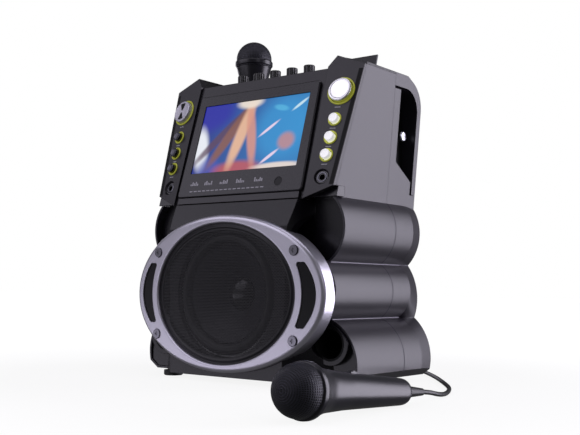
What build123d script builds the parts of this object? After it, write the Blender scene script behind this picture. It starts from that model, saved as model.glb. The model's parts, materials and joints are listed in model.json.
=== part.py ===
from build123d import *
import os
from math import acos, asin, atan, cos, hypot, pi, radians, sin, sqrt, tan

# Portable karaoke machine: a tilted screen console with a disc tray, on a speaker
# cabinet with three swelling lobes down each side. Millimetres, +Z up, the front
# looks along -Y. The origin lies on the floor, midway between the four feet.

# ---------------------------------------------------------------- driving dimensions
wall = 2.5                # moulded shell thickness
fit_gap = 0.3             # between parts that are pushed together
slide_gap = 0.2           # around parts that slide in a hole
run_gap = 0.05            # radial running clearance of a shaft
press_gap = 0.1           # around parts that are pressed in or screwed down

# feet and base
foot_radius = 11.0
foot_height = 6.0
foot_x = 103.5
foot_y = 66.0
base_z = foot_height

# cabinet: three lobes a side, each (centre x, centre z, radius)
lobe_top = (94.5, 168.0, 44.0)
lobe_middle = (100.0, 100.5, 35.0)
lobe_bottom = (100.6, 25.0, 49.4)
lobes = (lobe_top, lobe_middle, lobe_bottom)
core_top_z = lobe_top[1] + lobe_top[2]
cabinet_back_y = 93.0
cabinet_front_low_y = -59.0
cabinet_front_high_y = -68.3
lobe_back_y = 96.0
lobe_taper_y = 71.0       # behind this the lobes draw in
# rear ends of the lobes, flatter circles that keep the notches between them
lobe_ends = ((80.2, 168.0, 53.0), (62.4, 91.6, 67.8), (87.7, 25.0, 60.5))
lobe_end_x = 70.0         # the raised rear ends begin here
lobe_back_round = 3.0
core_back_round = 6.0
toe_in_x = 137.0          # where the underside starts to turn up
toe_in_slope = 36.0       # degrees
seam_y = 33.0             # front and rear shells meet here
partition_z = 184.0       # shelf between the speaker chamber and the electronics

# console
panel_tilt = 16.4         # degrees, leaning back
screen_y = -59.0
screen_z = 275.7
console_bottom_z = 197.0
console_low_x = 126.9
console_low_z = 209.9
deck_z = 343.6
front_shoulder_x = 138.1  # corner of the front moulding
front_shoulder_z = 343.9
shoulder_x = 138.3        # corner of the deck and the sides behind it
shoulder_z = 346.7
peak_x = 103.2
peak_z = 357.3
brow_x = 93.1             # foot of the shoulder ridge on the deck
front_depth = 11.0        # thickness of the front moulding
recess_depth = 4.0
recess_half_width = 94.0
wing_start_depth = 1.2
wing_sweep = 0.138        # depth gained for each millimetre outwards

# screen and bezel
screen_width = 154.1
screen_height = 86.6
lcd_width = 164.0
lcd_height = 98.0
lcd_thickness = 6.0
bezel_lip = 1.6
bezel_low_half = 90.5
bezel_high_half = 88.0
bezel_low_s = -73.0
bezel_high_s = 57.0
bezel_round = 4.0
bezel_chamfer = 1.2
receiver_x = 56.9
receiver_s = -60.5
receiver_radius = 5.0

# wing controls, each (height up the panel, light ring radius, cap radius)
big_control = (41.6, 16.4, 13.5)
small_controls = ((8.45, 8.0, 5.3), (-12.8, 8.0, 5.3), (-33.0, 8.0, 5.3))
jack_s = -57.3
control_line_x = 113.9
control_line_lean = 0.048
ring_flange = 1.2
ring_depth = 3.2
cap_proud = 5.5
button_travel = 1.2
control_board_depth = 18.0
board_thickness = 1.6
jack_bore = 3.2
jack_bush_radius = 5.4
jack_bush_length = 14.0
jack_dish_radius = 8.75
jack_dish_depth = 3.0

# top deck
deck_thickness = 2.5
deck_back_half = 112.0
deck_back_y = 68.0
top_knob_count = 5
top_knob_pitch = 24.8
top_knob_y = -12.0
top_knob_radius = 6.5
top_knob_height = 13.2
shaft_radius = 3.0
holder_x = -71.5
holder_y = 34.0
cup_radius = 20.5
cup_depth = 106.0
rest_left_x = 32.0
rest_right_x = 92.0
rest_hinge_y = 57.0
rest_height = 35.0
rest_thickness = 2.5
rest_lean = 16.0
trough_front_y = 36.0
trough_back_y = 52.0
trough_depth = 12.0
trough_wall = 2.0

# rear hood, its hand recesses and the inner housing
hood_top_z = 343.9
hood_band = 12.0
hood_strip = 8.0
hood_corner = 35.0
housing_x = 115.0
housing_back_y = 82.0
recess_front_y = 46.0
recess_top_z = 329.0
recess_knee_z = 247.0
recess_low_z = 227.0
recess_back_y = 81.0
peg_y = 72.0
peg_z = 280.0
peg_length = 10.0
peg_shank_radius = 3.0
peg_head_radius = 6.0

# front fascia and speaker
fascia_front_y = -95.5
fascia_top_front_y = -82.0
fascia_knee_z = 168.0
fascia_wall = 3.0
fascia_back_y = -55.0
fascia_low_front_half = 80.0
fascia_high_front_half = 86.0
fascia_low_back_half = 125.0
fascia_high_back_half = 93.0
scoop_x = 126.0
scoop_z = 158.0
scoop_radius = 39.5
collar_x = 129.5
collar_low_z = 198.8
collar_high_z = 209.8
port_x = 119.0
port_z = 46.0
port_radius = 17.5
port_wall = 2.0
port_length = 70.0
speaker_z = 96.3
ring_half_width = 134.3
ring_half_height = 85.4
ring_front_y = -104.0
ring_bow = 1195.0         # radius of the ring's bowed front
ring_plate = 3.5
ring_back_y = -78.0
ring_rim_round = 5.0
ring_mouth_round = 2.0
ring_opening_width = 98.4
ring_opening_height = 76.6
grille_thickness = 0.8
window_half_height = 33.8
window_inner = (107.3, 88.0)
window_outer = (124.5, 72.5)
window_corner = 2.5
window_drop = 0.4         # windows sit a little below the ring's centre
screw_x = 97.5
screw_z = (141.7, 49.2)
screw_head_radius = 5.2
screw_head_height = 2.6
screw_seat_depth = 1.2
screw_shank_radius = 1.9
cone_radius = 53.0
cone_depth = 24.0
cone_front_y = -89.0
coil_radius = 16.0
dust_cap_radius = 19.5
surround_outer = 68.0
flange_radius = 81.0
basket_half_width = 78.5
basket_half_height = 71.5
magnet_radius = 38.0
magnet_front_y = -46.0
magnet_back_y = -22.0

# disc drive
tray_half_width = 70.0
tray_back_y = 80.0
tray_bottom_z = 201.2
tray_top_z = 205.6
tray_lip_half = 88.0
tray_lip_high_s = -73.6
tray_lip_low_s = -80.9
spindle_y = -12.0
disc_well_radius = 60.5
disc_well_depth = 2.4
tray_slot_half = 18.0
gear_module = 1.0
gear_teeth = 16
gear_y = -50.0
gear_thickness = 2.6
rack_left_x = -63.0
rack_root_x = -59.0
backlash = 0.2
chassis_half = 76.0
chassis_front_y = -66.0
chassis_floor = 2.0
rod_x = 22.0
rod_radius = 1.5

# microphones
mic_length = 172.0
mic_tail_radius = 12.0
mic_neck_radius = 18.0
mic_band_radius = 23.5
mic_dome_radius = 22.0
mic_band_t = 144.0        # middle of the band, from the tail
mic_neck_t = 124.0
loose_tail_x = 243.0
loose_tail_y = -127.0
loose_heading = 1.4       # degrees the loose microphone turns from -Y
relief_length = 33.0
cord_diameter = 4.5
coil_centre = (36.0, 150.0)
coil_inner = 18.0
coil_outer = 36.0
coil_height = 18.0

# ---------------------------------------------------------------- frames and helpers
tilt_sin = sin(radians(panel_tilt))
tilt_cos = cos(radians(panel_tilt))
outward = Vector(0, -tilt_cos, tilt_sin)
panel_up = Vector(0, tilt_sin, tilt_cos)
screen_plane = Plane(origin=(0, screen_y, screen_z), x_dir=(1, 0, 0), z_dir=outward)


def panel_point(x, s, depth=0.0):
    """A point x across and s up the tilted front, depth millimetres behind the screen."""
    return Vector(x, screen_y, screen_z) + panel_up * s - outward * depth


def panel_y(z, depth=0.0):
    """Where the plane depth millimetres behind the screen is at height z."""
    return screen_y + (depth + tilt_sin * (z - screen_z)) / tilt_cos


def wing_depth(x):
    return wing_start_depth + wing_sweep * (abs(x) - recess_half_width)


def wing_plane(side, x=recess_half_width, s=0.0, proud=0.0):
    """The swept wing's face on one side, with its local Y running up the panel."""
    normal = (outward + Vector(side * wing_sweep, 0, 0)).normalized()
    face = Plane(
        origin=panel_point(side * x, s, wing_depth(x)),
        x_dir=panel_up.cross(normal),
        z_dir=normal,
    )
    return face.offset(proud)


def control_plane(side, s, proud=0.0):
    """The wing's face at a control, which sits on a line that leans a little outwards."""
    return wing_plane(side, control_line_x + control_line_lean * s, s, proud)


def side_x(z):
    """Half width of the console's side at height z."""
    slope = (shoulder_x - console_low_x) / (shoulder_z - console_low_z)
    return console_low_x + slope * (z - console_low_z)


def facing_front(y):
    """A plane square to Y with its normal forwards and its local Y up."""
    return Plane.XZ.offset(-y)


def along_y(points, front_y, back_y, inset=0.0):
    """A prism along Y of a closed outline in X and Z."""
    with BuildPart() as prism:
        with BuildSketch(facing_front(back_y)):
            with BuildLine():
                Polyline(*points, close=True)
            make_face()
            if inset > 0:
                offset(amount=-inset, kind=Kind.INTERSECTION, mode=Mode.REPLACE)
        extrude(amount=back_y - front_y)
    return prism.part


def along_x(points, half_width, centre_x=0.0):
    """A prism along X of a closed outline in Y and Z."""
    with BuildPart() as prism:
        with BuildSketch(Plane.YZ.offset(centre_x - half_width)):
            with BuildLine():
                Polyline(*points, close=True)
            make_face()
        extrude(amount=2 * half_width)
    return prism.part


def block(x, y, z):
    """A box from its three (low, high) pairs."""
    with BuildPart() as box:
        with BuildSketch(Plane.XY.offset(z[0])):
            with Locations(((x[0] + x[1]) / 2, (y[0] + y[1]) / 2)):
                Rectangle(x[1] - x[0], y[1] - y[0])
        extrude(amount=z[1] - z[0])
    return box.part


def rod(plane, radius, length):
    """A cylinder that stands on a plane; a negative length goes behind it."""
    with BuildPart() as cylinder:
        with BuildSketch(plane):
            Circle(radius)
        extrude(amount=length)
    return cylinder.part


def mirror_pairs(right_points):
    """The right half of an outline, listed from the middle outwards, and its mirror."""
    left_points = [(-x, z) for x, z in reversed(right_points)]
    return list(right_points) + left_points


def finish(shape, label):
    """Name a finished piece and write it."""
    shape.label = label
    export_step(shape, f"parts/{label}.step")


os.makedirs("parts", exist_ok=True)

low_points = [(console_low_x, console_low_z), (recess_half_width, console_bottom_z)]
brow_points = [(brow_x, deck_z), (peak_x, peak_z)]
console_points = mirror_pairs(brow_points + [(shoulder_x, shoulder_z)] + low_points)
front_points = mirror_pairs(
    brow_points + [(front_shoulder_x, front_shoulder_z)] + low_points
)


# ---------------------------------------------------------------- cabinet shells
def lobe(side, centre_x, centre_z, radius, front_y, straight_y):
    with BuildPart() as one_lobe:
        with BuildSketch(facing_front(straight_y)):
            with Locations((side * centre_x, centre_z)):
                Circle(radius)
        extrude(amount=straight_y - front_y)
    return one_lobe.part


def lobe_tail(side, straight, end, inset, back_y, back_round):
    """The rear end of a lobe, drawn in towards its flatter end face."""
    with BuildPart() as tail:
        for y, (centre_x, centre_z, radius) in ((lobe_taper_y, straight), (back_y, end)):
            with BuildSketch(facing_front(y)):
                with Locations((side * centre_x, centre_z)):
                    Circle(radius - inset)
        loft()
        if back_round > 0:
            fillet(tail.edges().group_by(Axis.Y)[-1], radius=back_round)
        split(bisect_by=Plane.XY.offset(core_top_z - inset), keep=Keep.BOTTOM)
        inner_end = Plane.YZ.offset(side * (lobe_end_x + inset))
        split(bisect_by=inner_end, keep=Keep.TOP if side > 0 else Keep.BOTTOM)
    return tail.part


def lobe_body(inset, front_y, back_y, tailed):
    """Both stacks of lobes and the block between them, all shrunk by inset."""
    with BuildPart() as body:
        with BuildSketch(facing_front(back_y)):
            with Locations((0, (base_z + core_top_z) / 2)):
                Rectangle(2 * lobe_top[0], core_top_z - base_z - 2 * inset)
        extrude(amount=back_y - front_y)
        if tailed:
            fillet(body.edges().group_by(Axis.Y)[-1], radius=core_back_round - inset)
        for side in (-1, 1):
            for straight, end in zip(lobes, lobe_ends):
                centre_x, centre_z, radius = straight
                straight_y = lobe_taper_y if tailed else back_y
                add(lobe(side, centre_x, centre_z, radius - inset, front_y, straight_y))
                if tailed:
                    back_round = 0 if inset else lobe_back_round
                    add(lobe_tail(side, straight, end, inset, lobe_back_y - inset, back_round))
        split(bisect_by=Plane.XY.offset(base_z + inset), keep=Keep.TOP)
        for side in (-1, 1):
            slope = radians(toe_in_slope)
            toe = Plane(
                origin=(side * toe_in_x, 0, base_z),
                z_dir=(side * sin(slope), 0, -cos(slope)),
            )
            split(bisect_by=toe.offset(-inset), keep=Keep.BOTTOM)
    return body.part


def console_sides(inset, front_y, back_y, top_z):
    """The console's tapering block under the deck, shrunk sideways by inset."""
    low_z = core_top_z - lobe_top[2] / 2
    outline = mirror_pairs([(side_x(top_z) - inset, top_z), (side_x(low_z) - inset, low_z)])
    return along_y(outline, front_y, back_y)


side_top_z = shoulder_z - deck_thickness
front_lean = Plane(
    origin=(0, cabinet_front_low_y, base_z),
    z_dir=(
        0,
        -(console_bottom_z - base_z),
        cabinet_front_high_y - cabinet_front_low_y,
    ),
)
inner_front_y = fascia_back_y + fit_gap

with BuildPart() as cabinet_front_shell:
    add(lobe_body(0, fascia_front_y, seam_y, False))
    add(console_sides(0, fascia_front_y, seam_y, side_top_z))
    split(bisect_by=front_lean, keep=Keep.BOTTOM)
    split(bisect_by=screen_plane.offset(-front_depth), keep=Keep.BOTTOM)
    # the middle lobes run on to the back of the speaker ring
    for side in (-1, 1):
        add(lobe(side, *lobe_middle, ring_back_y + fit_gap, cabinet_front_low_y + 4))
    add(lobe_body(wall, fascia_front_y - 1, seam_y + 1, False), mode=Mode.SUBTRACT)
    add(console_sides(wall, fascia_front_y - 1, seam_y + 1, peak_z), mode=Mode.SUBTRACT)
    # shelf that closes the speaker chamber and carries the disc drive
    shelf_half = lobe_top[0] + sqrt(lobe_top[2] ** 2 - (partition_z + 3 - lobe_top[1]) ** 2) - wall / 2
    add(block((-shelf_half, shelf_half), (inner_front_y, seam_y), (partition_z, partition_z + 3)))
    # notches for the fascia's collars
    for side in (-1, 1):
        near, far = sorted((side * lobe_top[0], side * (collar_x + 5)))
        add(
            block(
                (near, far),
                (fascia_front_y, fascia_back_y + fit_gap),
                (collar_low_z - fit_gap, collar_high_z + fit_gap),
            ),
            mode=Mode.SUBTRACT,
        )
finish(cabinet_front_shell.part, "cabinet_front_shell")

# the rear cheeks stop at the hand recess
cheek_points = [
    (seam_y, core_top_z - wall), (recess_back_y, core_top_z - wall),
    (recess_back_y, recess_low_z), (recess_front_y, recess_knee_z),
    (recess_front_y, recess_top_z), (seam_y, recess_top_z),
]
with BuildPart() as rear_cheeks:
    add(console_sides(0, seam_y, cabinet_back_y, recess_top_z))
    add(console_sides(wall, seam_y - 1, cabinet_back_y + 1, peak_z), mode=Mode.SUBTRACT)
    add(along_x(cheek_points, shoulder_x + 5), mode=Mode.INTERSECT)
with BuildPart() as cabinet_rear_shell:
    add(lobe_body(0, seam_y, cabinet_back_y, True))
    add(console_sides(0, seam_y, cabinet_back_y, core_top_z))
    add(lobe_body(wall, seam_y - 1, cabinet_back_y - wall, True), mode=Mode.SUBTRACT)
    add(rear_cheeks.part)
    # the floor of the console is open to the front shell under the housing
    add(
        block(
            (-lobe_top[0] + 2, lobe_top[0] - 2),
            (seam_y - 1, tray_back_y + 0.5),
            (core_top_z - wall - 1, core_top_z + 1),
        ),
        mode=Mode.SUBTRACT,
    )
    add(
        block(
            (-shelf_half, shelf_half),
            (seam_y, housing_back_y - 8),
            (partition_z, partition_z + 3),
        )
    )
finish(cabinet_rear_shell.part, "cabinet_rear_shell")

with BuildPart() as feet:
    for x in (-foot_x, foot_x):
        for y in (-foot_y, foot_y):
            with BuildSketch(Plane.XY):
                with Locations((x, y)):
                    Circle(foot_radius)
            extrude(amount=foot_height)
    chamfer(feet.edges().filter_by(GeomType.CIRCLE).group_by(Axis.Z)[0], length=1.0)
    with Locations(*[(x, y, 0) for x in (-foot_x, foot_x) for y in (-foot_y, foot_y)]):
        Hole(radius=screw_head_radius, depth=foot_height / 2)
finish(feet.part, "feet")


# ---------------------------------------------------------------- console front
def front_body(inset, back_depth):
    """The tilted front with its recess and swept wings, its faces moved in by inset."""
    with BuildPart() as body:
        add(along_y(front_points, fascia_front_y - 20, deck_z - screen_z, inset))
        split(bisect_by=screen_plane.offset(-inset), keep=Keep.BOTTOM)
        split(bisect_by=screen_plane.offset(-back_depth), keep=Keep.TOP)
        with BuildSketch(screen_plane.offset(-recess_depth - inset)):
            Rectangle(2 * (recess_half_width + inset), 4 * screen_height)
        extrude(amount=recess_depth + inset, mode=Mode.SUBTRACT)
        for side in (-1, 1):
            with BuildSketch(wing_plane(side).offset(-inset)):
                with Locations((side * (shoulder_x / 2 - 2), 0)):
                    Rectangle(shoulder_x, 4 * screen_height)
            extrude(amount=front_depth, mode=Mode.SUBTRACT)
    return body.part


board_posts = [(x, s) for x in (-88, 88) for s in (-38, 38)]
main_board_depth = 20.0
control_posts_s = (22.5, -44.0)

with BuildPart() as console_front:
    add(front_body(0, front_depth))
    add(front_body(wall, front_depth + 5), mode=Mode.SUBTRACT)
    # window for the screen module
    with BuildSketch(screen_plane.offset(-recess_depth - wall - 1)):
        Rectangle(lcd_width + 2 * fit_gap, lcd_height + 2 * fit_gap)
    extrude(amount=wall + 2, mode=Mode.SUBTRACT)
    # mouth of the disc tray, open below
    add(
        block(
            (-tray_half_width - 1.5, tray_half_width + 1.5),
            (fascia_front_y, cabinet_front_high_y + 5),
            (console_bottom_z - 1, tray_top_z + 1.3),
        ),
        mode=Mode.SUBTRACT,
    )
    # posts for the main board
    with BuildSketch(screen_plane.offset(-recess_depth - wall)):
        with Locations(*board_posts):
            Circle(2.5)
    extrude(amount=-(main_board_depth - recess_depth - wall))
    for side in (-1, 1):
        # posts for the control boards
        for s in control_posts_s:
            add(rod(control_plane(side, s, 1 - wall), 2.5, wall - 1 - control_board_depth))
        # holes for the controls
        for s, ring_radius, cap_radius in (big_control,) + small_controls:
            through = ring_radius - 1.2 + press_gap
            add(rod(control_plane(side, s, 5), through, -5 - 2 * wall), mode=Mode.SUBTRACT)
        # dished seat and hole for the microphone socket
        add(rod(control_plane(side, jack_s, -1.5), jack_dish_radius + 1.5, -3.1))
        with BuildSketch(control_plane(side, jack_s, 0.01)):
            Circle(jack_dish_radius)
        extrude(amount=-jack_dish_depth - 0.01, taper=30, mode=Mode.SUBTRACT)
        add(
            rod(control_plane(side, jack_s, 1), jack_bush_radius + press_gap, -20),
            mode=Mode.SUBTRACT,
        )
finish(console_front.part, "console_front")

bezel_points = mirror_pairs([(bezel_high_half, bezel_high_s), (bezel_low_half, bezel_low_s)])
with BuildPart() as screen_bezel:
    with BuildSketch(screen_plane) as bezel_outline:
        with BuildLine():
            Polyline(*bezel_points, close=True)
        make_face()
        fillet(bezel_outline.vertices(), radius=bezel_round)
    extrude(amount=-recess_depth)
    bezel_face = screen_bezel.faces().sort_by(Axis(screen_plane.origin, outward))[-1]
    chamfer(bezel_face.edges(), length=bezel_chamfer)
    with BuildSketch(screen_plane):
        Rectangle(screen_width + 0.4, screen_height + 0.4)
    extrude(amount=-recess_depth, mode=Mode.SUBTRACT)
    with BuildSketch(screen_plane.offset(-bezel_lip)):
        Rectangle(lcd_width + fit_gap, lcd_height + fit_gap)
    extrude(amount=-recess_depth, mode=Mode.SUBTRACT)
    with BuildSketch(screen_plane):
        with Locations((receiver_x, receiver_s)):
            Circle(receiver_radius + press_gap)
    extrude(amount=-recess_depth, mode=Mode.SUBTRACT)
    # relief under the lower edge, where the tray slides out
    add(
        block(
            (-tray_half_width - 1.5, tray_half_width + 1.5),
            (fascia_front_y, cabinet_front_high_y + 5),
            (console_bottom_z, tray_top_z + fit_gap),
        ),
        mode=Mode.SUBTRACT,
    )
finish(screen_bezel.part, "screen_bezel")

with BuildPart() as lcd_panel:
    with BuildSketch(screen_plane.offset(-bezel_lip)):
        Rectangle(lcd_width, lcd_height)
    extrude(amount=-lcd_thickness)
    with BuildSketch(screen_plane.offset(-bezel_lip)):
        Rectangle(screen_width - 0.6, screen_height - 0.6)
    extrude(amount=0.5)
finish(lcd_panel.part, "lcd_panel")

with BuildPart() as knob_light_rings:
    for side in (-1, 1):
        for s, ring_radius, cap_radius in (big_control,) + small_controls:
            with BuildSketch(control_plane(side, s)):
                Circle(ring_radius)
                Circle(cap_radius + 0.7, mode=Mode.SUBTRACT)
            extrude(amount=ring_flange)
            with BuildSketch(control_plane(side, s)):
                Circle(ring_radius - 1.2)
                Circle(cap_radius + 0.7, mode=Mode.SUBTRACT)
            extrude(amount=-ring_depth)
finish(knob_light_rings.part, "knob_light_rings")

with BuildPart() as mic_jacks:
    for side in (-1, 1):
        seat = -jack_dish_depth
        add(rod(control_plane(side, jack_s, seat), jack_bush_radius + 1.6, 0.9))
        add(rod(control_plane(side, jack_s, seat), jack_bush_radius, -jack_bush_length + 1))
        with BuildSketch(control_plane(side, jack_s, seat - jack_bush_length + 1)):
            with Locations((0, 1.75)):
                Rectangle(15, 10.5)
        extrude(amount=-13)
        add(
            rod(control_plane(side, jack_s, seat + 1), jack_bore, -jack_bush_length - 1),
            mode=Mode.SUBTRACT,
        )
finish(mic_jacks.part, "mic_jacks")

with BuildPart() as control_boards:
    for side in (-1, 1):
        middle = control_plane(side, -0.5, -control_board_depth)
        with BuildSketch(middle):
            Rectangle(17, 97)
        extrude(amount=-board_thickness)
        for s, ring_radius, cap_radius in (big_control,) + small_controls:
            with BuildSketch(control_plane(side, s, -control_board_depth)):
                Rectangle(11, 11)
            extrude(amount=7)
            add(
                rod(control_plane(side, s, -control_board_depth + 8), 2.0 + run_gap, -7),
                mode=Mode.SUBTRACT,
            )
    # potentiometer board under the deck
    with BuildSketch(Plane.XY.offset(deck_z - deck_thickness - 10)):
        with Locations((0, top_knob_y)):
            Rectangle(top_knob_pitch * top_knob_count, 22)
    extrude(amount=-board_thickness)
    for i in range(top_knob_count):
        knob_x = (i - (top_knob_count - 1) / 2) * top_knob_pitch
        with BuildSketch(Plane.XY.offset(deck_z - deck_thickness - 10)):
            with Locations((knob_x, top_knob_y)):
                Rectangle(12, 12)
        extrude(amount=10)
        with Locations((knob_x, top_knob_y, deck_z - deck_thickness)):
            Hole(radius=shaft_radius + run_gap, depth=8)
finish(control_boards.part, "control_boards")


def control_cap(side, s, radius, stem_depth):
    """A cap with its stem that reaches into the switch or encoder behind it."""
    with BuildPart() as cap:
        add(rod(control_plane(side, s, -1), radius, cap_proud + 1))
        edges = cap.edges().filter_by(GeomType.CIRCLE)
        chamfer(edges.sort_by(Axis((0, 0, 0), control_plane(side, s).z_dir))[-1], length=0.8)
        add(rod(control_plane(side, s, -1), 2.0, -stem_depth + 1))
    return cap.part


switch_stem = control_board_depth - 3.5
volume_knob = control_cap(1, big_control[0], big_control[2], switch_stem)
finish(volume_knob, "volume_knob")

with BuildPart() as nav_button:
    add(control_cap(-1, big_control[0], big_control[2], switch_stem))
    # crossed grooves that part the four arrows
    for turn in (45, 135):
        with BuildSketch(control_plane(-1, big_control[0], cap_proud).rotated((0, 0, turn))):
            Rectangle(4.2, 3 * big_control[2])
        extrude(amount=-0.7, mode=Mode.SUBTRACT)
finish(nav_button.part, "nav_button")

for i, (s, ring_radius, cap_radius) in enumerate(small_controls, start=1):
    finish(control_cap(-1, s, cap_radius, switch_stem), f"left_button_{i}")
    finish(control_cap(1, s, cap_radius, switch_stem), f"right_button_{i}")

with BuildPart() as main_board:
    with BuildSketch(screen_plane.offset(-main_board_depth)):
        Rectangle(190, 84)
    extrude(amount=-board_thickness)
    with BuildSketch(screen_plane.offset(-main_board_depth - board_thickness)):
        with GridLocations(48, 34, 3, 2):
            Rectangle(22, 18)
    extrude(amount=-3)
finish(main_board.part, "main_board")

# ---------------------------------------------------------------- top deck
roof_sheet = mirror_pairs(
    [
        (brow_x, deck_z), (peak_x, peak_z), (shoulder_x, shoulder_z),
        (side_x(side_top_z), side_top_z), (side_x(side_top_z) - 3.4, side_top_z),
        (peak_x, peak_z - deck_thickness * 1.1), (brow_x + 1.2, deck_z - deck_thickness),
    ]
)
trough_x = (rest_left_x - 3, rest_right_x + 1)
ear_width = 3.0
hinge_radius = 2.4
hinge_z = deck_z + hinge_radius + fit_gap
pin_radius = 1.2

with BuildPart() as top_deck:
    add(along_y(roof_sheet, cabinet_front_high_y, seam_y))
    split(bisect_by=screen_plane.offset(-front_depth), keep=Keep.BOTTOM)
    with BuildPart(mode=Mode.PRIVATE) as deck_tail:
        add(along_y(roof_sheet, seam_y, deck_back_y))
        tail_half = deck_back_half
        add(
            block((-tail_half, tail_half), (seam_y, deck_back_y), (partition_z, peak_z)),
            mode=Mode.INTERSECT,
        )
    add(deck_tail.part)
    # trough that a phone or tablet stands in
    add(
        block(
            trough_x,
            (trough_front_y - trough_wall, trough_back_y + trough_wall),
            (deck_z - trough_depth, deck_z - deck_thickness / 2),
        )
    )
    add(
        block(
            (trough_x[0] + trough_wall, trough_x[1] - trough_wall),
            (trough_front_y, trough_back_y),
            (deck_z - trough_depth + trough_wall, peak_z),
        ),
        mode=Mode.SUBTRACT,
    )
    # ears for the hinge of the rest
    for ear_x in (rest_left_x - fit_gap - ear_width, rest_right_x + fit_gap):
        add(
            block(
                (ear_x, ear_x + ear_width),
                (rest_hinge_y - 3, rest_hinge_y + 3),
                (deck_z - 1, hinge_z + 2.6),
            )
        )
    add(
        rod(
            Plane.YZ.offset(rest_left_x - 10).shift_origin(
                Vector(rest_left_x - 10, rest_hinge_y, hinge_z)
            ),
            pin_radius + run_gap,
            rest_right_x - rest_left_x + 20,
        ),
        mode=Mode.SUBTRACT,
    )
    # holes for the knobs' shafts and the microphone cup
    with Locations(
        *[
            ((i - (top_knob_count - 1) / 2) * top_knob_pitch, top_knob_y, deck_z)
            for i in range(top_knob_count)
        ]
    ):
        Hole(radius=shaft_radius + 0.4, depth=deck_thickness + 1)
    with Locations((holder_x, holder_y, deck_z)):
        Hole(radius=cup_radius + press_gap, depth=deck_thickness + 1)
finish(top_deck.part, "top_deck")

for i in range(top_knob_count):
    knob_x = (i - (top_knob_count - 1) / 2) * top_knob_pitch
    with BuildPart() as top_knob:
        with BuildSketch(Plane.XY.offset(deck_z + fit_gap)):
            with Locations((knob_x, top_knob_y)):
                Circle(top_knob_radius)
        extrude(amount=top_knob_height)
        chamfer(top_knob.edges().group_by(Axis.Z)[-1], length=0.8)
        # flutes round the grip
        with BuildSketch(Plane.XY.offset(deck_z + fit_gap + 3)):
            with Locations((knob_x, top_knob_y)):
                with PolarLocations(top_knob_radius + 0.35, 12):
                    Circle(0.9)
        extrude(amount=top_knob_height, mode=Mode.SUBTRACT)
        with BuildSketch(Plane.XY.offset(deck_z + fit_gap)):
            with Locations((knob_x, top_knob_y)):
                Circle(shaft_radius)
        extrude(amount=-deck_thickness - 7)
    finish(top_knob.part, f"top_knob_{i + 1}")

with BuildPart() as mic_cup:
    with BuildSketch(Plane.XY.offset(deck_z)):
        with Locations((holder_x, holder_y)):
            Circle(cup_radius + 1)
    extrude(amount=2)
    chamfer(mic_cup.edges().group_by(Axis.Z)[-1], length=0.4)
    with BuildSketch(Plane.XY.offset(deck_z)):
        with Locations((holder_x, holder_y)):
            Circle(cup_radius)
    extrude(amount=-cup_depth)
    with BuildSketch(Plane.XY.offset(deck_z - cup_depth + 2)):
        with Locations((holder_x, holder_y)):
            Circle(cup_radius - 2)
    extrude(amount=cup_depth + 5, mode=Mode.SUBTRACT)
finish(mic_cup.part, "mic_cup")

rest_up = Vector(0, sin(radians(rest_lean)), cos(radians(rest_lean)))
with BuildPart() as tablet_rest:
    hinge_axis_plane = Plane.YZ.offset(rest_left_x).shift_origin(
        Vector(rest_left_x, rest_hinge_y, hinge_z)
    )
    add(rod(hinge_axis_plane, hinge_radius, rest_right_x - rest_left_x))
    rest_plane = Plane(
        origin=(rest_left_x, rest_hinge_y, hinge_z), x_dir=rest_up, z_dir=(1, 0, 0)
    )
    with BuildSketch(rest_plane):
        with Locations((rest_height / 2, 0)):
            Rectangle(rest_height, rest_thickness)
    extrude(amount=rest_right_x - rest_left_x)
    fillet(tablet_rest.edges().filter_by(GeomType.LINE).group_by(Axis.Z)[-1].filter_by(Axis.X), radius=1.0)
    add(
        rod(
            hinge_axis_plane.offset(-ear_width),
            pin_radius,
            rest_right_x - rest_left_x + 2 * ear_width,
        )
    )
finish(tablet_rest.part, "tablet_rest")

# ---------------------------------------------------------------- rear hood and housing
hood_corner_y = cabinet_back_y - hood_corner
hood_drop_y = hood_corner_y + hood_corner * sin(radians(22))
hood_low_z = core_top_z + fit_gap


def hood_profile(inset, top_extra=0.0):
    """The hood's side view: level top, sloped shoulder, round corner and upright back."""
    radius = hood_corner - inset
    corner_z = hood_top_z - hood_corner
    knee = Vector(
        hood_corner_y + radius * sin(radians(22)), corner_z + radius * cos(radians(22))
    )
    middle = Vector(
        hood_corner_y + radius * sin(radians(56)), corner_z + radius * cos(radians(56))
    )
    rise = peak_z - hood_top_z + 4
    shoulder_start = (knee.X - rise / tan(radians(22)) * 0.9, knee.Y + rise + top_extra)
    with BuildPart() as prism:
        with BuildSketch(Plane.YZ.offset(-shoulder_x - 10)):
            with BuildLine():
                Polyline(
                    (cabinet_back_y - inset, corner_z), (cabinet_back_y - inset, partition_z),
                    (seam_y - 40, partition_z), (seam_y - 40, shoulder_start[1]),
                    shoulder_start, (knee.X, knee.Y),
                )
                ThreePointArc(
                    (knee.X, knee.Y), (middle.X, middle.Y), (cabinet_back_y - inset, corner_z)
                )
            make_face()
        extrude(amount=2 * shoulder_x + 20)
    return prism.part


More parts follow.
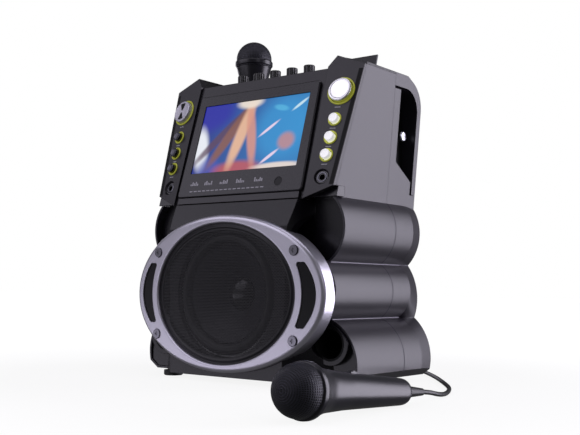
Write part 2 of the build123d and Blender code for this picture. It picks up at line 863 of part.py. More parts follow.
with BuildPart() as rear_hood:
    add(along_y(console_points, seam_y, cabinet_back_y + 1))
    add(hood_profile(0), mode=Mode.INTERSECT)
    split(bisect_by=Plane.XY.offset(hood_low_z), keep=Keep.TOP)
    # opening under the band and in front of the rear strip
    with BuildSketch(Plane.YZ.offset(-shoulder_x - 10)) as hood_hollow:
        with BuildLine():
            Polyline(
                (seam_y - 1, hood_low_z - 1), (cabinet_back_y - hood_strip, hood_low_z - 1),
                (cabinet_back_y - hood_strip, hood_top_z - hood_band),
                (seam_y - 1, hood_top_z - hood_band), close=True,
            )
        make_face()
        corner = hood_hollow.vertices().sort_by(Axis.Y)[-2:].sort_by(Axis.X)[-1]
        fillet(corner, radius=hood_corner - hood_strip)
    extrude(amount=2 * shoulder_x + 20, mode=Mode.SUBTRACT)
    # place of the deck's tail, and lightening behind it
    add(
        block(
            (-deck_back_half - fit_gap, deck_back_half + fit_gap),
            (seam_y - 1, deck_back_y + fit_gap),
            (partition_z, peak_z + 1),
        ),
        mode=Mode.SUBTRACT,
    )
    # window for the rear sockets
    add(
        block((-95, 95), (housing_back_y, cabinet_back_y + 1), (222, 300)),
        mode=Mode.SUBTRACT,
    )
finish(rear_hood.part, "rear_hood")

housing_top_z = hood_top_z - hood_band - fit_gap
housing_low_z = core_top_z + fit_gap
socket_z = 244.0
inlet_x = 62.0
rocker_x = 30.0
rca_x = (-78, -62, -46, -30)
with BuildPart() as rear_housing:
    add(
        block(
            (-housing_x, housing_x),
            (seam_y + 2, housing_back_y + wall),
            (housing_low_z, housing_top_z),
        )
    )
    fillet(
        rear_housing.edges().filter_by(Axis.X).group_by(Axis.Y)[-1].sort_by(Axis.Z)[-1],
        radius=hood_corner - hood_strip,
    )
    with BuildPart(mode=Mode.PRIVATE) as housing_space:
        add(
            block(
                (-housing_x + wall, housing_x - wall),
                (seam_y + 1, housing_back_y),
                (housing_low_z - 1, housing_top_z - wall),
            )
        )
        fillet(
            housing_space.edges().filter_by(Axis.X).group_by(Axis.Y)[-1].sort_by(Axis.Z)[-1],
            radius=hood_corner - hood_strip - wall,
        )
    add(housing_space.part, mode=Mode.SUBTRACT)
    # the roof is open where the deck's cup and trough hang through
    add(
        block(
            (-deck_back_half + wall, deck_back_half - wall),
            (seam_y, deck_back_y),
            (housing_top_z - wall - 1, housing_top_z + 1),
        ),
        mode=Mode.SUBTRACT,
    )
    # webs that close the hand recesses at the front
    for side in (-1, 1):
        web = [
            (side * (housing_x - 1), housing_low_z),
            (side * (side_x(housing_low_z) - wall - fit_gap), housing_low_z),
            (side * (side_x(housing_top_z) - wall - fit_gap), housing_top_z),
            (side * (housing_x - 1), housing_top_z),
        ]
        add(along_y(web, seam_y + 2, seam_y + 2 + wall))
        # bosses and holes for the strap pegs
        peg_plane = Plane(origin=(side * (housing_x - wall), peg_y, peg_z), z_dir=(side, 0, 0))
        add(rod(peg_plane.offset(-4), peg_head_radius, 4))
        add(rod(peg_plane.offset(-5), peg_shank_radius + press_gap, 12), mode=Mode.SUBTRACT)
    # vents and socket holes in the back wall
    with BuildSketch(facing_front(housing_back_y + wall + 1)):
        with Locations((0, 280)):
            with GridLocations(14, 14, 11, 2):
                SlotOverall(11, 3.0)
        with Locations(*[(x, socket_z) for x in rca_x]):
            Circle(4.2 + press_gap)
        with Locations((inlet_x, socket_z)):
            Rectangle(28 + 2 * press_gap, 20 + 2 * press_gap)
        with Locations((rocker_x, socket_z)):
            Rectangle(14 + 2 * press_gap, 21 + 2 * press_gap)
    extrude(amount=wall + 3, mode=Mode.SUBTRACT)
finish(rear_housing.part, "rear_housing")

with BuildPart() as strap_pegs:
    for side in (-1, 1):
        peg_plane = Plane(origin=(side * (housing_x - wall - 4), peg_y, peg_z), z_dir=(side, 0, 0))
        shank_length = wall + 4 + peg_length - 4
        add(rod(peg_plane, peg_shank_radius, shank_length + 0.5))
        head = rod(peg_plane.offset(shank_length), peg_head_radius, 4)
        add(head)
        far_edges = strap_pegs.edges().filter_by(GeomType.CIRCLE).sort_by(Axis.X)
        chamfer(far_edges[-1] if side > 0 else far_edges[0], length=1.2)
finish(strap_pegs.part, "strap_pegs")

with BuildPart() as av_jacks:
    for x in rca_x:
        socket = facing_front(housing_back_y + wall).shift_origin(
            Vector(x, housing_back_y + wall, socket_z)
        )
        add(rod(socket, 6.0, -1.2))
        add(rod(socket, 4.2, -7.5))
        add(rod(socket.offset(-7.6), 1.7, 6.0), mode=Mode.SUBTRACT)
        add(rod(socket, 4.2, wall + 4 - press_gap))
    # carrier board that the sockets stand on, inside the back wall
    add(
        block(
            (rca_x[0] - 8, rca_x[-1] + 8),
            (housing_back_y - 4 - board_thickness, housing_back_y - 4),
            (socket_z - 9, socket_z + 9),
        )
    )
finish(av_jacks.part, "av_jacks")

with BuildPart() as mains_inlet:
    add(
        block(
            (inlet_x - 14, inlet_x + 14),
            (housing_back_y - 14, housing_back_y + wall),
            (socket_z - 10, socket_z + 10),
        )
    )
    add(
        block(
            (inlet_x - 17, inlet_x + 17),
            (housing_back_y + wall, housing_back_y + wall + 2),
            (socket_z - 13, socket_z + 13),
        )
    )
    with BuildSketch(facing_front(housing_back_y + wall + 2)):
        with Locations((inlet_x, socket_z)):
            SlotOverall(18, 10)
    extrude(amount=12, mode=Mode.SUBTRACT)
    for x in (inlet_x - 4.3, inlet_x + 4.3):
        pin_plane = facing_front(housing_back_y - 10).shift_origin(
            Vector(x, housing_back_y - 10, socket_z)
        )
        add(rod(pin_plane, 1.2, -9))
finish(mains_inlet.part, "mains_inlet")

rocker_pivot_y = housing_back_y - 2.0
with BuildPart() as power_rocker:
    add(
        block(
            (rocker_x - 6.3, rocker_x + 6.3),
            (rocker_pivot_y - 1, housing_back_y + wall + 1.6),
            (socket_z - 8.6, socket_z + 8.6),
        )
    )
    fillet(power_rocker.edges().filter_by(Axis.X).group_by(Axis.Y)[-1], radius=1.0)
    # the two halves of the key fall away from its middle
    for side in (-1, 1):
        fall = Plane(
            origin=(rocker_x, housing_back_y + wall + 1.2, socket_z),
            z_dir=(0, cos(radians(8)), side * sin(radians(8))),
        )
        split(bisect_by=fall, keep=Keep.BOTTOM)
    add(
        rod(
            Plane.YZ.offset(rocker_x - 8).shift_origin(
                Vector(rocker_x - 8, rocker_pivot_y, socket_z)
            ),
            1.2,
            16,
        )
    )
finish(power_rocker.part, "power_rocker")

with BuildPart() as power_board:
    # board on the back wall, with its transformer, capacitors and the switch frame
    add(
        block(
            (-20, 104),
            (housing_back_y - 15 - board_thickness, housing_back_y - 15),
            (housing_low_z + 4, 322),
        )
    )
    for x in (-14, 98):
        for z in (housing_low_z + 10, 270):
            post = facing_front(housing_back_y).shift_origin(Vector(x, housing_back_y, z))
            add(rod(post, 2.5, 15))
    add(block((40, 90), (26, housing_back_y - 15 - board_thickness), (252, 296)))
    for x in (0, 22):
        can = facing_front(housing_back_y - 15 - board_thickness).shift_origin(
            Vector(x, housing_back_y - 15 - board_thickness, 300)
        )
        add(rod(can, 8, 24))
    # hollow frame that carries the power switch
    add(
        block(
            (rocker_x - 9, rocker_x + 9),
            (housing_back_y - 15, housing_back_y),
            (socket_z - 12.5, socket_z + 12.5),
        )
    )
    add(
        block(
            (rocker_x - 6.8, rocker_x + 6.8),
            (housing_back_y - 13, housing_back_y + 1),
            (socket_z - 10.3, socket_z + 10.3),
        ),
        mode=Mode.SUBTRACT,
    )
    add(
        rod(
            Plane.YZ.offset(rocker_x - 8.2).shift_origin(
                Vector(rocker_x - 8.2, rocker_pivot_y, socket_z)
            ),
            1.2 + run_gap,
            16.4,
        ),
        mode=Mode.SUBTRACT,
    )
finish(power_board.part, "power_board")


# ---------------------------------------------------------------- fascia
def fascia_loft(inset):
    """The proud middle of the fascia, whose flanks spread towards the cabinet."""
    low_z = base_z + inset
    high_z = console_bottom_z - fit_gap - inset
    with BuildPart() as body:
        with BuildSketch(facing_front(fascia_front_y + inset)):
            with BuildLine():
                Polyline(
                    *mirror_pairs(
                        [
                            (fascia_high_front_half - inset, high_z),
                            (fascia_low_front_half - inset, low_z),
                        ]
                    ),
                    close=True,
                )
            make_face()
        with BuildSketch(facing_front(fascia_back_y + (1 if inset else 0))):
            with BuildLine():
                Polyline(
                    *mirror_pairs(
                        [
                            (fascia_high_back_half - inset, high_z),
                            (fascia_low_back_half - inset, low_z),
                        ]
                    ),
                    close=True,
                )
            make_face()
        loft()
        # slope from the knee up to the console
        slope = Plane(
            origin=(0, fascia_front_y + inset, fascia_knee_z),
            z_dir=(
                0,
                -(console_bottom_z - fascia_knee_z),
                fascia_top_front_y - fascia_front_y,
            ),
        )
        split(bisect_by=slope, keep=Keep.BOTTOM)
    return body.part


def lobe_end_plate(inset, front_y, back_y):
    """The outline of the lobes' open ends as a flat plate."""
    with BuildPart() as plate:
        add(lobe_body(inset, front_y, back_y, False))
        add(
            block(
                (-fascia_high_back_half, fascia_high_back_half),
                (front_y - 1, back_y + 1),
                (partition_z - 0.5, peak_z),
            ),
            mode=Mode.SUBTRACT,
        )
    return plate.part


drive_room = block(
    (-fascia_high_back_half + wall, fascia_high_back_half - wall),
    (chassis_front_y - 3.5, fascia_back_y + 5),
    (partition_z - 0.5, peak_z),
)
with BuildPart() as front_fascia:
    add(fascia_loft(0))
    add(fascia_loft(fascia_wall), mode=Mode.SUBTRACT)
    add(drive_room, mode=Mode.SUBTRACT)
    # behind the shell's rim the proud middle keeps clear of the base
    with BuildPart(mode=Mode.PRIVATE) as base_room:
        add(block((-150, 150), (-75, 0), (0, base_z + wall + fit_gap + fascia_wall)))
        split(bisect_by=front_lean.offset(fit_gap), keep=Keep.BOTTOM)
    add(base_room.part, mode=Mode.SUBTRACT)
    with BuildPart(mode=Mode.PRIVATE) as rim_room:
        add(block((-150, 150), (-75, -50), (0, partition_z)))
        split(bisect_by=front_lean.offset(fit_gap), keep=Keep.BOTTOM)
        add(lobe_body(wall + fit_gap, -80, -45, False), mode=Mode.SUBTRACT)
    add(rim_room.part, mode=Mode.SUBTRACT)
    add(lobe_end_plate(wall + fit_gap, fascia_back_y - fascia_wall, fascia_back_y))
    # the plate is open behind the proud middle
    with BuildSketch(facing_front(fascia_back_y + 1)):
        with Locations((0, speaker_z)):
            Circle(flange_radius + 2)
    extrude(amount=fascia_wall + 2, mode=Mode.SUBTRACT)
    for side in (-1, 1):
        # scooped ends of the top lobes
        with BuildSketch(facing_front(fascia_back_y - fascia_wall)):
            with Locations((side * scoop_x, scoop_z)):
                Circle(scoop_radius)
        extrude(amount=60, mode=Mode.SUBTRACT)
        # collars that cap the corners above the top lobes
        near, far = sorted((side * (fascia_high_back_half - 2), side * collar_x))
        add(
            block(
                (near, far),
                (cabinet_front_high_y - 4, fascia_back_y),
                (collar_low_z, collar_high_z),
            )
        )
        # seats of the bass ports
        port_plane = facing_front(fascia_back_y).shift_origin(
            Vector(side * port_x, fascia_back_y, port_z)
        )
        with BuildPart(mode=Mode.PRIVATE) as port_seat:
            add(rod(port_plane, port_radius + 5, fascia_wall + 7))
            add(lobe_body(wall + fit_gap, -80, -50, False), mode=Mode.INTERSECT)
        add(port_seat.part)
        add(rod(port_plane.offset(-1), port_radius + press_gap, 60), mode=Mode.SUBTRACT)
    # nothing stands in front of the console's back plane above the cabinet
    with BuildPart(mode=Mode.PRIVATE) as console_room:
        add(block((-150, 150), (-120, 0), (console_bottom_z - fit_gap, peak_z)))
        split(bisect_by=screen_plane.offset(-front_depth - fit_gap), keep=Keep.TOP)
    add(console_room.part, mode=Mode.SUBTRACT)
    # speaker opening
    with BuildSketch(facing_front(fascia_front_y + fascia_wall + 1)):
        with Locations((0, speaker_z)):
            Circle(surround_outer + 2)
    extrude(amount=fascia_wall + 2, mode=Mode.SUBTRACT)
finish(front_fascia.part, "front_fascia")

with BuildPart() as bass_ports:
    for side in (-1, 1):
        mouth = facing_front(fascia_back_y - fascia_wall - 7).shift_origin(
            Vector(side * port_x, fascia_back_y - fascia_wall - 7, port_z)
        )
        add(rod(mouth, port_radius, -port_length))
        add(rod(mouth.offset(1), port_radius - port_wall, -port_length - 3), mode=Mode.SUBTRACT)
finish(bass_ports.part, "bass_ports")


# ---------------------------------------------------------------- speaker ring and grille
def bowed_front(back_from_face):
    """Everything behind the ring's bowed front, moved back by back_from_face."""
    with BuildPart() as slab:
        with BuildSketch(Plane.XY):
            with Locations((0, ring_front_y + back_from_face + ring_bow)):
                Circle(ring_bow)
        extrude(amount=2 * speaker_z)
        with BuildPart(mode=Mode.PRIVATE) as keep_box:
            add(block((-150, 150), (ring_front_y - 5, ring_back_y), (0, 2 * speaker_z)))
        add(keep_box.part, mode=Mode.INTERSECT)
    return slab.part


def ellipse_bar(half_width, half_height, front_y, back_y, centre_z=speaker_z):
    with BuildPart() as bar:
        with BuildSketch(facing_front(back_y)):
            with Locations((0, centre_z)):
                Ellipse(half_width, half_height)
        extrude(amount=back_y - front_y)
    return bar.part


def on_bowed_rim(edge, half_width, half_height):
    """Whether an edge runs along the bowed front at the given half sizes."""
    for share in (0.2, 0.5, 0.8):
        point = edge @ share
        face_y = ring_front_y + ring_bow - sqrt(ring_bow**2 - point.X**2)
        off_ellipse = (
            (point.X / half_width) ** 2 + ((point.Z - speaker_z) / half_height) ** 2 - 1
        )
        if abs(off_ellipse) > 0.002 or abs(point.Y - face_y) > 0.05:
            return False
    return True


def window_shape(shrink, front_y, back_y):
    """The two crescents beside the speaker, made smaller by shrink all round."""
    with BuildPart() as shape:
        with BuildSketch(facing_front(back_y)):
            with Locations((0, speaker_z)):
                Ellipse(window_outer[0] - shrink, window_outer[1] - shrink)
                Ellipse(window_inner[0] + shrink, window_inner[1] + shrink, mode=Mode.SUBTRACT)
            with Locations((0, speaker_z - window_drop)):
                Rectangle(
                    4 * window_outer[0], 2 * (window_half_height - shrink), mode=Mode.INTERSECT
                )
        extrude(amount=back_y - front_y)
        fillet(shape.edges().filter_by(Axis.Y), radius=window_corner - shrink)
    return shape.part


skirt_wall = 3.0
with BuildPart() as speaker_ring:
    add(ellipse_bar(ring_half_width, ring_half_height, ring_front_y - 4, ring_back_y))
    add(bowed_front(0), mode=Mode.INTERSECT)
    add(
        ellipse_bar(
            ring_opening_width, ring_opening_height, ring_front_y - 10, ring_back_y + 1
        ),
        mode=Mode.SUBTRACT,
    )
    for half_width, half_height, edge_round in (
        (ring_half_width, ring_half_height, ring_rim_round),
        (ring_opening_width, ring_opening_height, ring_mouth_round),
    ):
        rim = [e for e in speaker_ring.edges() if on_bowed_rim(e, half_width, half_height)]
        fillet(rim, radius=edge_round)
    # hollow between the outer skirt and the lip round the opening
    with BuildPart(mode=Mode.PRIVATE) as ring_hollow:
        add(
            ellipse_bar(
                ring_half_width - skirt_wall, ring_half_height - skirt_wall,
                ring_front_y - 4, ring_back_y + 1,
            )
        )
        add(bowed_front(ring_plate), mode=Mode.INTERSECT)
        add(
            ellipse_bar(
                ring_opening_width + skirt_wall, ring_opening_height + skirt_wall,
                ring_front_y - 4, ring_back_y + 1,
            ),
            mode=Mode.SUBTRACT,
        )
    add(ring_hollow.part, mode=Mode.SUBTRACT)
    add(window_shape(0, ring_front_y - 10, fascia_front_y + 20), mode=Mode.SUBTRACT)
    # posts behind the screws
    for x in (-screw_x, screw_x):
        for z in screw_z:
            post = facing_front(ring_back_y - 2).shift_origin(Vector(x, ring_back_y - 2, z))
            with BuildPart(mode=Mode.PRIVATE) as ring_post:
                add(rod(post, screw_head_radius + 1.2, 30))
                add(bowed_front(0.5), mode=Mode.INTERSECT)
            add(ring_post.part)
            face_y = ring_front_y + ring_bow - sqrt(ring_bow**2 - x**2)
            seat_y = face_y + screw_seat_depth
            head_seat = facing_front(seat_y).shift_origin(Vector(x, seat_y, z))
            add(rod(head_seat, screw_head_radius + 0.5, 10), mode=Mode.SUBTRACT)
            add(rod(head_seat, screw_shank_radius + press_gap, -40), mode=Mode.SUBTRACT)
    # the fascia's proud middle sits inside the skirt
    with BuildPart(mode=Mode.PRIVATE) as fascia_room:
        add(fascia_loft(0))
        add(
            ellipse_bar(
                ring_opening_width + skirt_wall + 1, ring_opening_height + skirt_wall + 1,
                fascia_front_y, ring_back_y + 2,
            )
        )
    add(fascia_room.part, mode=Mode.SUBTRACT)
finish(speaker_ring.part, "speaker_ring")

with BuildPart() as speaker_grille:
    add(
        ellipse_bar(
            ring_opening_width - press_gap, ring_opening_height - press_gap,
            ring_front_y, fascia_front_y,
        )
    )
    add(bowed_front(ring_plate - grille_thickness), mode=Mode.INTERSECT)
    add(bowed_front(ring_plate), mode=Mode.SUBTRACT)
    # turned edge that rests on the fascia
    with BuildPart(mode=Mode.PRIVATE) as grille_edge:
        add(
            ellipse_bar(
                ring_opening_width - press_gap, ring_opening_height - press_gap,
                ring_front_y, fascia_front_y,
            )
        )
        add(bowed_front(ring_plate - grille_thickness), mode=Mode.INTERSECT)
        add(
            ellipse_bar(
                ring_opening_width - 1.2, ring_opening_height - 1.2,
                ring_front_y - 5, fascia_front_y + 5,
            ),
            mode=Mode.SUBTRACT,
        )
    add(grille_edge.part)
finish(speaker_grille.part, "speaker_grille")

with BuildPart() as smoked_windows:
    # crescents beside the speaker
    add(window_shape(press_gap, ring_front_y - 5, fascia_front_y + 20))
    add(bowed_front(1.2), mode=Mode.INTERSECT)
    add(bowed_front(ring_plate + 1.2), mode=Mode.SUBTRACT)
    # remote control window in the bezel
    with BuildSketch(screen_plane.offset(-recess_depth)):
        with Locations((receiver_x, receiver_s)):
            Circle(receiver_radius)
    extrude(amount=recess_depth - 0.3)
finish(smoked_windows.part, "smoked_windows")

with BuildPart() as case_screws:
    # four in the ring, four through the back wall into the hood
    for x in (-screw_x, screw_x):
        for z in screw_z:
            face_y = ring_front_y + ring_bow - sqrt(ring_bow**2 - x**2)
            seat_y = face_y + screw_seat_depth
            seat = facing_front(seat_y).shift_origin(Vector(x, seat_y, z))
            add(rod(seat, screw_head_radius, screw_head_height))
            add(rod(seat, screw_shank_radius, -14))
            with BuildSketch(seat.offset(screw_head_height)):
                Rectangle(4.6, 0.9)
                Rectangle(0.9, 4.6)
            extrude(amount=-1.1, mode=Mode.SUBTRACT)
finish(case_screws.part, "case_screws")


# ---------------------------------------------------------------- woofer
def turned(points):
    """A solid of revolution about the speaker's axis from (y, radius) points."""
    with BuildPart() as solid:
        with BuildSketch(Plane.YZ):
            with BuildLine():
                Polyline(*[(y, speaker_z + radius) for y, radius in points], close=True)
            make_face()
        revolve(axis=Axis((0, 0, speaker_z), (0, 1, 0)))
    return solid.part


flange_front_y = fascia_front_y + fascia_wall
cone_back_y = cone_front_y + cone_depth
with BuildPart() as woofer_basket:
    add(
        turned(
            [
                (flange_front_y, surround_outer - 1), (flange_front_y, flange_radius),
                (flange_front_y + 3, flange_radius), (flange_front_y + 3, flange_radius - 7),
                (magnet_front_y - 4, magnet_radius + 1), (magnet_front_y, magnet_radius + 1),
                (magnet_front_y, coil_radius + 3), (magnet_front_y - 2, coil_radius + 3),
                (magnet_front_y - 2, magnet_radius - 1), (magnet_front_y - 6, magnet_radius - 1),
                (flange_front_y + 3, flange_radius - 10), (flange_front_y + 3, surround_outer - 1),
            ]
        )
    )
    # the flange is cut off square
    add(
        block(
            (-basket_half_width, basket_half_width),
            (fascia_front_y, magnet_back_y),
            (speaker_z - basket_half_height, speaker_z + basket_half_height),
        ),
        mode=Mode.INTERSECT,
    )
    # openings between the basket's arms
    with BuildSketch(facing_front(magnet_front_y - 7)):
        with Locations((0, speaker_z)):
            with PolarLocations(56, 6):
                RectangleRounded(24, 26, 5)
    extrude(amount=24, mode=Mode.SUBTRACT)
finish(woofer_basket.part, "woofer_basket")

with BuildPart() as woofer_magnet:
    add(
        turned(
            [
                (magnet_front_y, coil_radius + 2), (magnet_front_y, magnet_radius),
                (magnet_back_y, magnet_radius), (magnet_back_y, 0),
                (magnet_front_y + 1, 0), (magnet_front_y + 1, coil_radius - 2.4),
                (magnet_back_y - 6, coil_radius - 2.4), (magnet_back_y - 6, coil_radius + 2),
            ]
        )
    )
finish(woofer_magnet.part, "woofer_magnet")

roll_middle = (surround_outer + cone_radius) / 2
roll_radius = (surround_outer - cone_radius) / 2 - 1
with BuildPart() as woofer_surround:
    with BuildSketch(Plane.YZ):
        with Locations((cone_front_y, speaker_z + roll_middle)):
            Circle(roll_radius)
            Circle(roll_radius - 1, mode=Mode.SUBTRACT)
        with Locations((cone_front_y + roll_radius, speaker_z + roll_middle)):
            Rectangle(2 * roll_radius, 4 * roll_radius, mode=Mode.SUBTRACT)
        with Locations((cone_front_y + 0.5, speaker_z + (cone_radius + fit_gap + roll_middle - roll_radius + 1) / 2)):
            Rectangle(1, roll_middle - roll_radius + 1 - cone_radius - fit_gap)
        with Locations((cone_front_y + 0.5, speaker_z + (surround_outer - 1 + roll_middle + roll_radius - 1) / 2)):
            Rectangle(1, surround_outer - roll_middle - roll_radius)
    revolve(axis=Axis((0, 0, speaker_z), (0, 1, 0)))
finish(woofer_surround.part, "woofer_surround")

cone_slope = (cone_depth - 1) / (cone_radius - 2 - coil_radius - 1.4)
cap_rim_y = cone_back_y - 1 - cone_slope * (dust_cap_radius - coil_radius - 1.4) + 0.9
cap_rise = 8.0
cap_sphere = (dust_cap_radius**2 + cap_rise**2) / (2 * cap_rise)
cap_angle = asin(dust_cap_radius / cap_sphere)


def cap_point(radius, angle):
    """A point on the dust cap's sphere, angle away from its pole."""
    middle_y = cap_rim_y - cap_rise + cap_sphere
    return (middle_y - radius * cos(angle), speaker_z + radius * sin(angle))


with BuildPart() as woofer_cone:
    with BuildSketch(Plane.YZ):
        with BuildLine():
            Polyline(
                (cone_front_y, speaker_z + cone_radius),
                (cone_front_y + 1.2, speaker_z + cone_radius),
                (cone_back_y + 1.2, speaker_z + coil_radius + 0.6),
                (magnet_front_y + 4, speaker_z + coil_radius + 0.6),
                (magnet_front_y + 4, speaker_z + coil_radius - 0.6),
                (cone_back_y - 1, speaker_z + coil_radius - 0.6),
                (cone_back_y - 1, speaker_z + coil_radius + 1.4),
                (cone_front_y, speaker_z + cone_radius - 2),
                close=True,
            )
        make_face()
        # domed dust cap, its rim sunk into the cone
        with BuildLine():
            cap_outer = ThreePointArc(
                (cap_rim_y - cap_rise, speaker_z),
                cap_point(cap_sphere, cap_angle / 2),
                cap_point(cap_sphere, cap_angle),
            )
            cap_inner = ThreePointArc(
                (cap_rim_y - cap_rise + 1, speaker_z),
                cap_point(cap_sphere - 1, cap_angle / 2),
                cap_point(cap_sphere - 1, cap_angle),
            )
            Line(cap_outer @ 0, cap_inner @ 0)
            Line(cap_outer @ 1, cap_inner @ 1)
        make_face()
    revolve(axis=Axis((0, 0, speaker_z), (0, 1, 0)))
finish(woofer_cone.part, "woofer_cone")

# ---------------------------------------------------------------- disc drive
pitch = pi * gear_module
pitch_radius = gear_module * gear_teeth / 2
addendum = 0.9 * gear_module
dedendum = 1.15 * gear_module
gear_x = rack_root_x + dedendum + pitch_radius
rack_low_z = tray_bottom_z - 2.8

with BuildPart() as disc_tray:
    add(
        block(
            (-tray_half_width, tray_half_width),
            (panel_y(tray_top_z, recess_depth + fit_gap), tray_back_y),
            (tray_bottom_z, tray_top_z),
        )
    )
    # neck between the tray and its front
    with BuildSketch(screen_plane.offset(-2)):
        with Locations((0, (tray_lip_high_s + tray_lip_low_s) / 2)):
            Rectangle(2 * tray_half_width, tray_lip_high_s - tray_lip_low_s - 2.4)
    extrude(amount=-4.5)
    with BuildSketch(screen_plane.offset(-recess_depth + slide_gap)):
        with Locations((0, (tray_lip_high_s + tray_lip_low_s) / 2)):
            Rectangle(2 * tray_lip_half, tray_lip_high_s - tray_lip_low_s)
    extrude(amount=recess_depth - slide_gap - 0.6)
    # well for the disc, with the slot that the turntable and the laser need
    with BuildSketch(Plane.XY.offset(tray_top_z - disc_well_depth)):
        with Locations((0, spindle_y)):
            Circle(disc_well_radius)
    extrude(amount=disc_well_depth + 1, mode=Mode.SUBTRACT)
    with BuildSketch(Plane.XY.offset(tray_bottom_z - 1)):
        with Locations((0, spindle_y)):
            Circle(tray_slot_half)
        with Locations((0, (spindle_y + tray_back_y + 2) / 2)):
            Rectangle(2 * tray_slot_half, tray_back_y + 2 - spindle_y)
    extrude(amount=tray_top_z - tray_bottom_z + 2, mode=Mode.SUBTRACT)
    # rack under the left side, cut with straight-flanked teeth
    tooth_slant = tan(radians(20))
    half_tooth = pitch / 4 - backlash / 2
    tooth_count = int((tray_back_y - 4 - gear_y) / pitch)
    add(
        block(
            (rack_left_x, rack_root_x),
            (gear_y - 2 * pitch, tray_back_y - 2),
            (rack_low_z, tray_bottom_z),
        )
    )
    with BuildSketch(Plane.XY.offset(rack_low_z)):
        for i in range(-1, tooth_count):
            tooth_y = gear_y + (i + 0.5) * pitch
            root = half_tooth + dedendum * tooth_slant
            tip = half_tooth - addendum * tooth_slant
            with BuildLine():
                Polyline(
                    (rack_root_x - 0.5, tooth_y - root), (rack_root_x, tooth_y - root),
                    (rack_root_x + dedendum + addendum, tooth_y - tip),
                    (rack_root_x + dedendum + addendum, tooth_y + tip),
                    (rack_root_x, tooth_y + root), (rack_root_x - 0.5, tooth_y + root),
                    close=True,
                )
            make_face()
    extrude(amount=tray_bottom_z - rack_low_z)
finish(disc_tray.part, "disc_tray")


def involute(angle):
    return tan(angle) - angle


def gear_outline():
    """One pinion outline with involute flanks, a tooth pointing at the rack."""
    pressure = radians(20)
    base_radius = pitch_radius * cos(pressure)
    root_radius = pitch_radius - dedendum
    tip_radius = pitch_radius + addendum
    half_at_pitch = (pitch / 4 - backlash / 2) / pitch_radius
    flank_radii = [
        base_radius + (tip_radius - base_radius) * k / 4 for k in range(5)
    ]
    points = []
    for tooth in range(gear_teeth):
        middle = pi + tooth * 2 * pi / gear_teeth
        half = [
            half_at_pitch + involute(pressure) - involute(acos(min(1, base_radius / r)))
            for r in flank_radii
        ]
        rising = [(root_radius, -half[0])] + [(r, -h) for r, h in zip(flank_radii, half)]
        falling = [(r, -h) for r, h in reversed(rising)]
        for radius, turn in rising + falling:
            points.append(
                (gear_x + radius * cos(middle + turn), gear_y + radius * sin(middle + turn))
            )
    return points


chassis_low_z = partition_z + 3
with BuildPart() as loading_gear:
    with BuildSketch(Plane.XY.offset(rack_low_z)):
        with BuildLine():
            Polyline(*gear_outline(), close=True)
        make_face()
    extrude(amount=gear_thickness)
    with BuildSketch(Plane.XY.offset(chassis_low_z + 0.2)):
        with Locations((gear_x, gear_y)):
            Circle(rod_radius)
    extrude(amount=rack_low_z - chassis_low_z)
finish(loading_gear.part, "loading_gear")

motor_top_z = 197.0
with BuildPart() as turntable:
    with BuildSketch(Plane.XY.offset(motor_top_z + 0.6)):
        with Locations((0, spindle_y)):
            Circle(14)
    extrude(amount=tray_top_z - disc_well_depth + 0.4 - motor_top_z - 0.6)
    with BuildSketch(Plane.XY.offset(tray_top_z - disc_well_depth)):
        with Locations((0, spindle_y)):
            Circle(7.3)
    extrude(amount=3.0)
    chamfer(turntable.edges().group_by(Axis.Z)[-1], length=1.5)
    # three clips round the hub so that its turning shows
    with BuildSketch(Plane.XY.offset(tray_top_z + 1.2)):
        with Locations((0, spindle_y)):
            with PolarLocations(4.2, 3):
                Rectangle(2.4, 1.6)
    extrude(amount=-2.4, mode=Mode.SUBTRACT)
    with BuildSketch(Plane.XY.offset(motor_top_z + 0.6)):
        with Locations((0, spindle_y)):
            Circle(rod_radius)
    extrude(amount=-5)
finish(turntable.part, "turntable")

rod_z = 194.5
rod_front_y = 2.0
rod_back_y = 70.0
sled_front_y = 6.0
sled_back_y = 26.0
with BuildPart() as laser_sled:
    add(block((-rod_x - 4, rod_x + 4), (sled_front_y, sled_back_y), (rod_z - 3, rod_z + 3)))
    for x in (-rod_x, rod_x):
        bearing = facing_front(sled_back_y + 1).shift_origin(Vector(x, sled_back_y + 1, rod_z))
        add(rod(bearing, rod_radius + run_gap, sled_back_y - sled_front_y + 2), mode=Mode.SUBTRACT)
    # lens
    with BuildSketch(Plane.XY.offset(rod_z + 3)):
        with Locations((0, sled_front_y + 6)):
            Circle(3.2)
    extrude(amount=1.4)
finish(laser_sled.part, "laser_sled")

with BuildPart() as sled_rods:
    for x in (-rod_x, rod_x):
        start = facing_front(rod_back_y).shift_origin(Vector(x, rod_back_y, rod_z))
        add(rod(start, rod_radius, rod_back_y - rod_front_y))
finish(sled_rods.part, "sled_rods")

chassis_floor_z = chassis_low_z + chassis_floor
with BuildPart() as drive_motors:
    with BuildSketch(Plane.XY.offset(chassis_floor_z)):
        with Locations((0, spindle_y)):
            Circle(12)
            Circle(rod_radius + run_gap, mode=Mode.SUBTRACT)
        with Locations((gear_x + 20, gear_y)):
            Rectangle(16, 20)
        with Locations((44, 28)):
            Rectangle(16, 24)
    extrude(amount=motor_top_z - chassis_floor_z)
finish(drive_motors.part, "drive_motors")

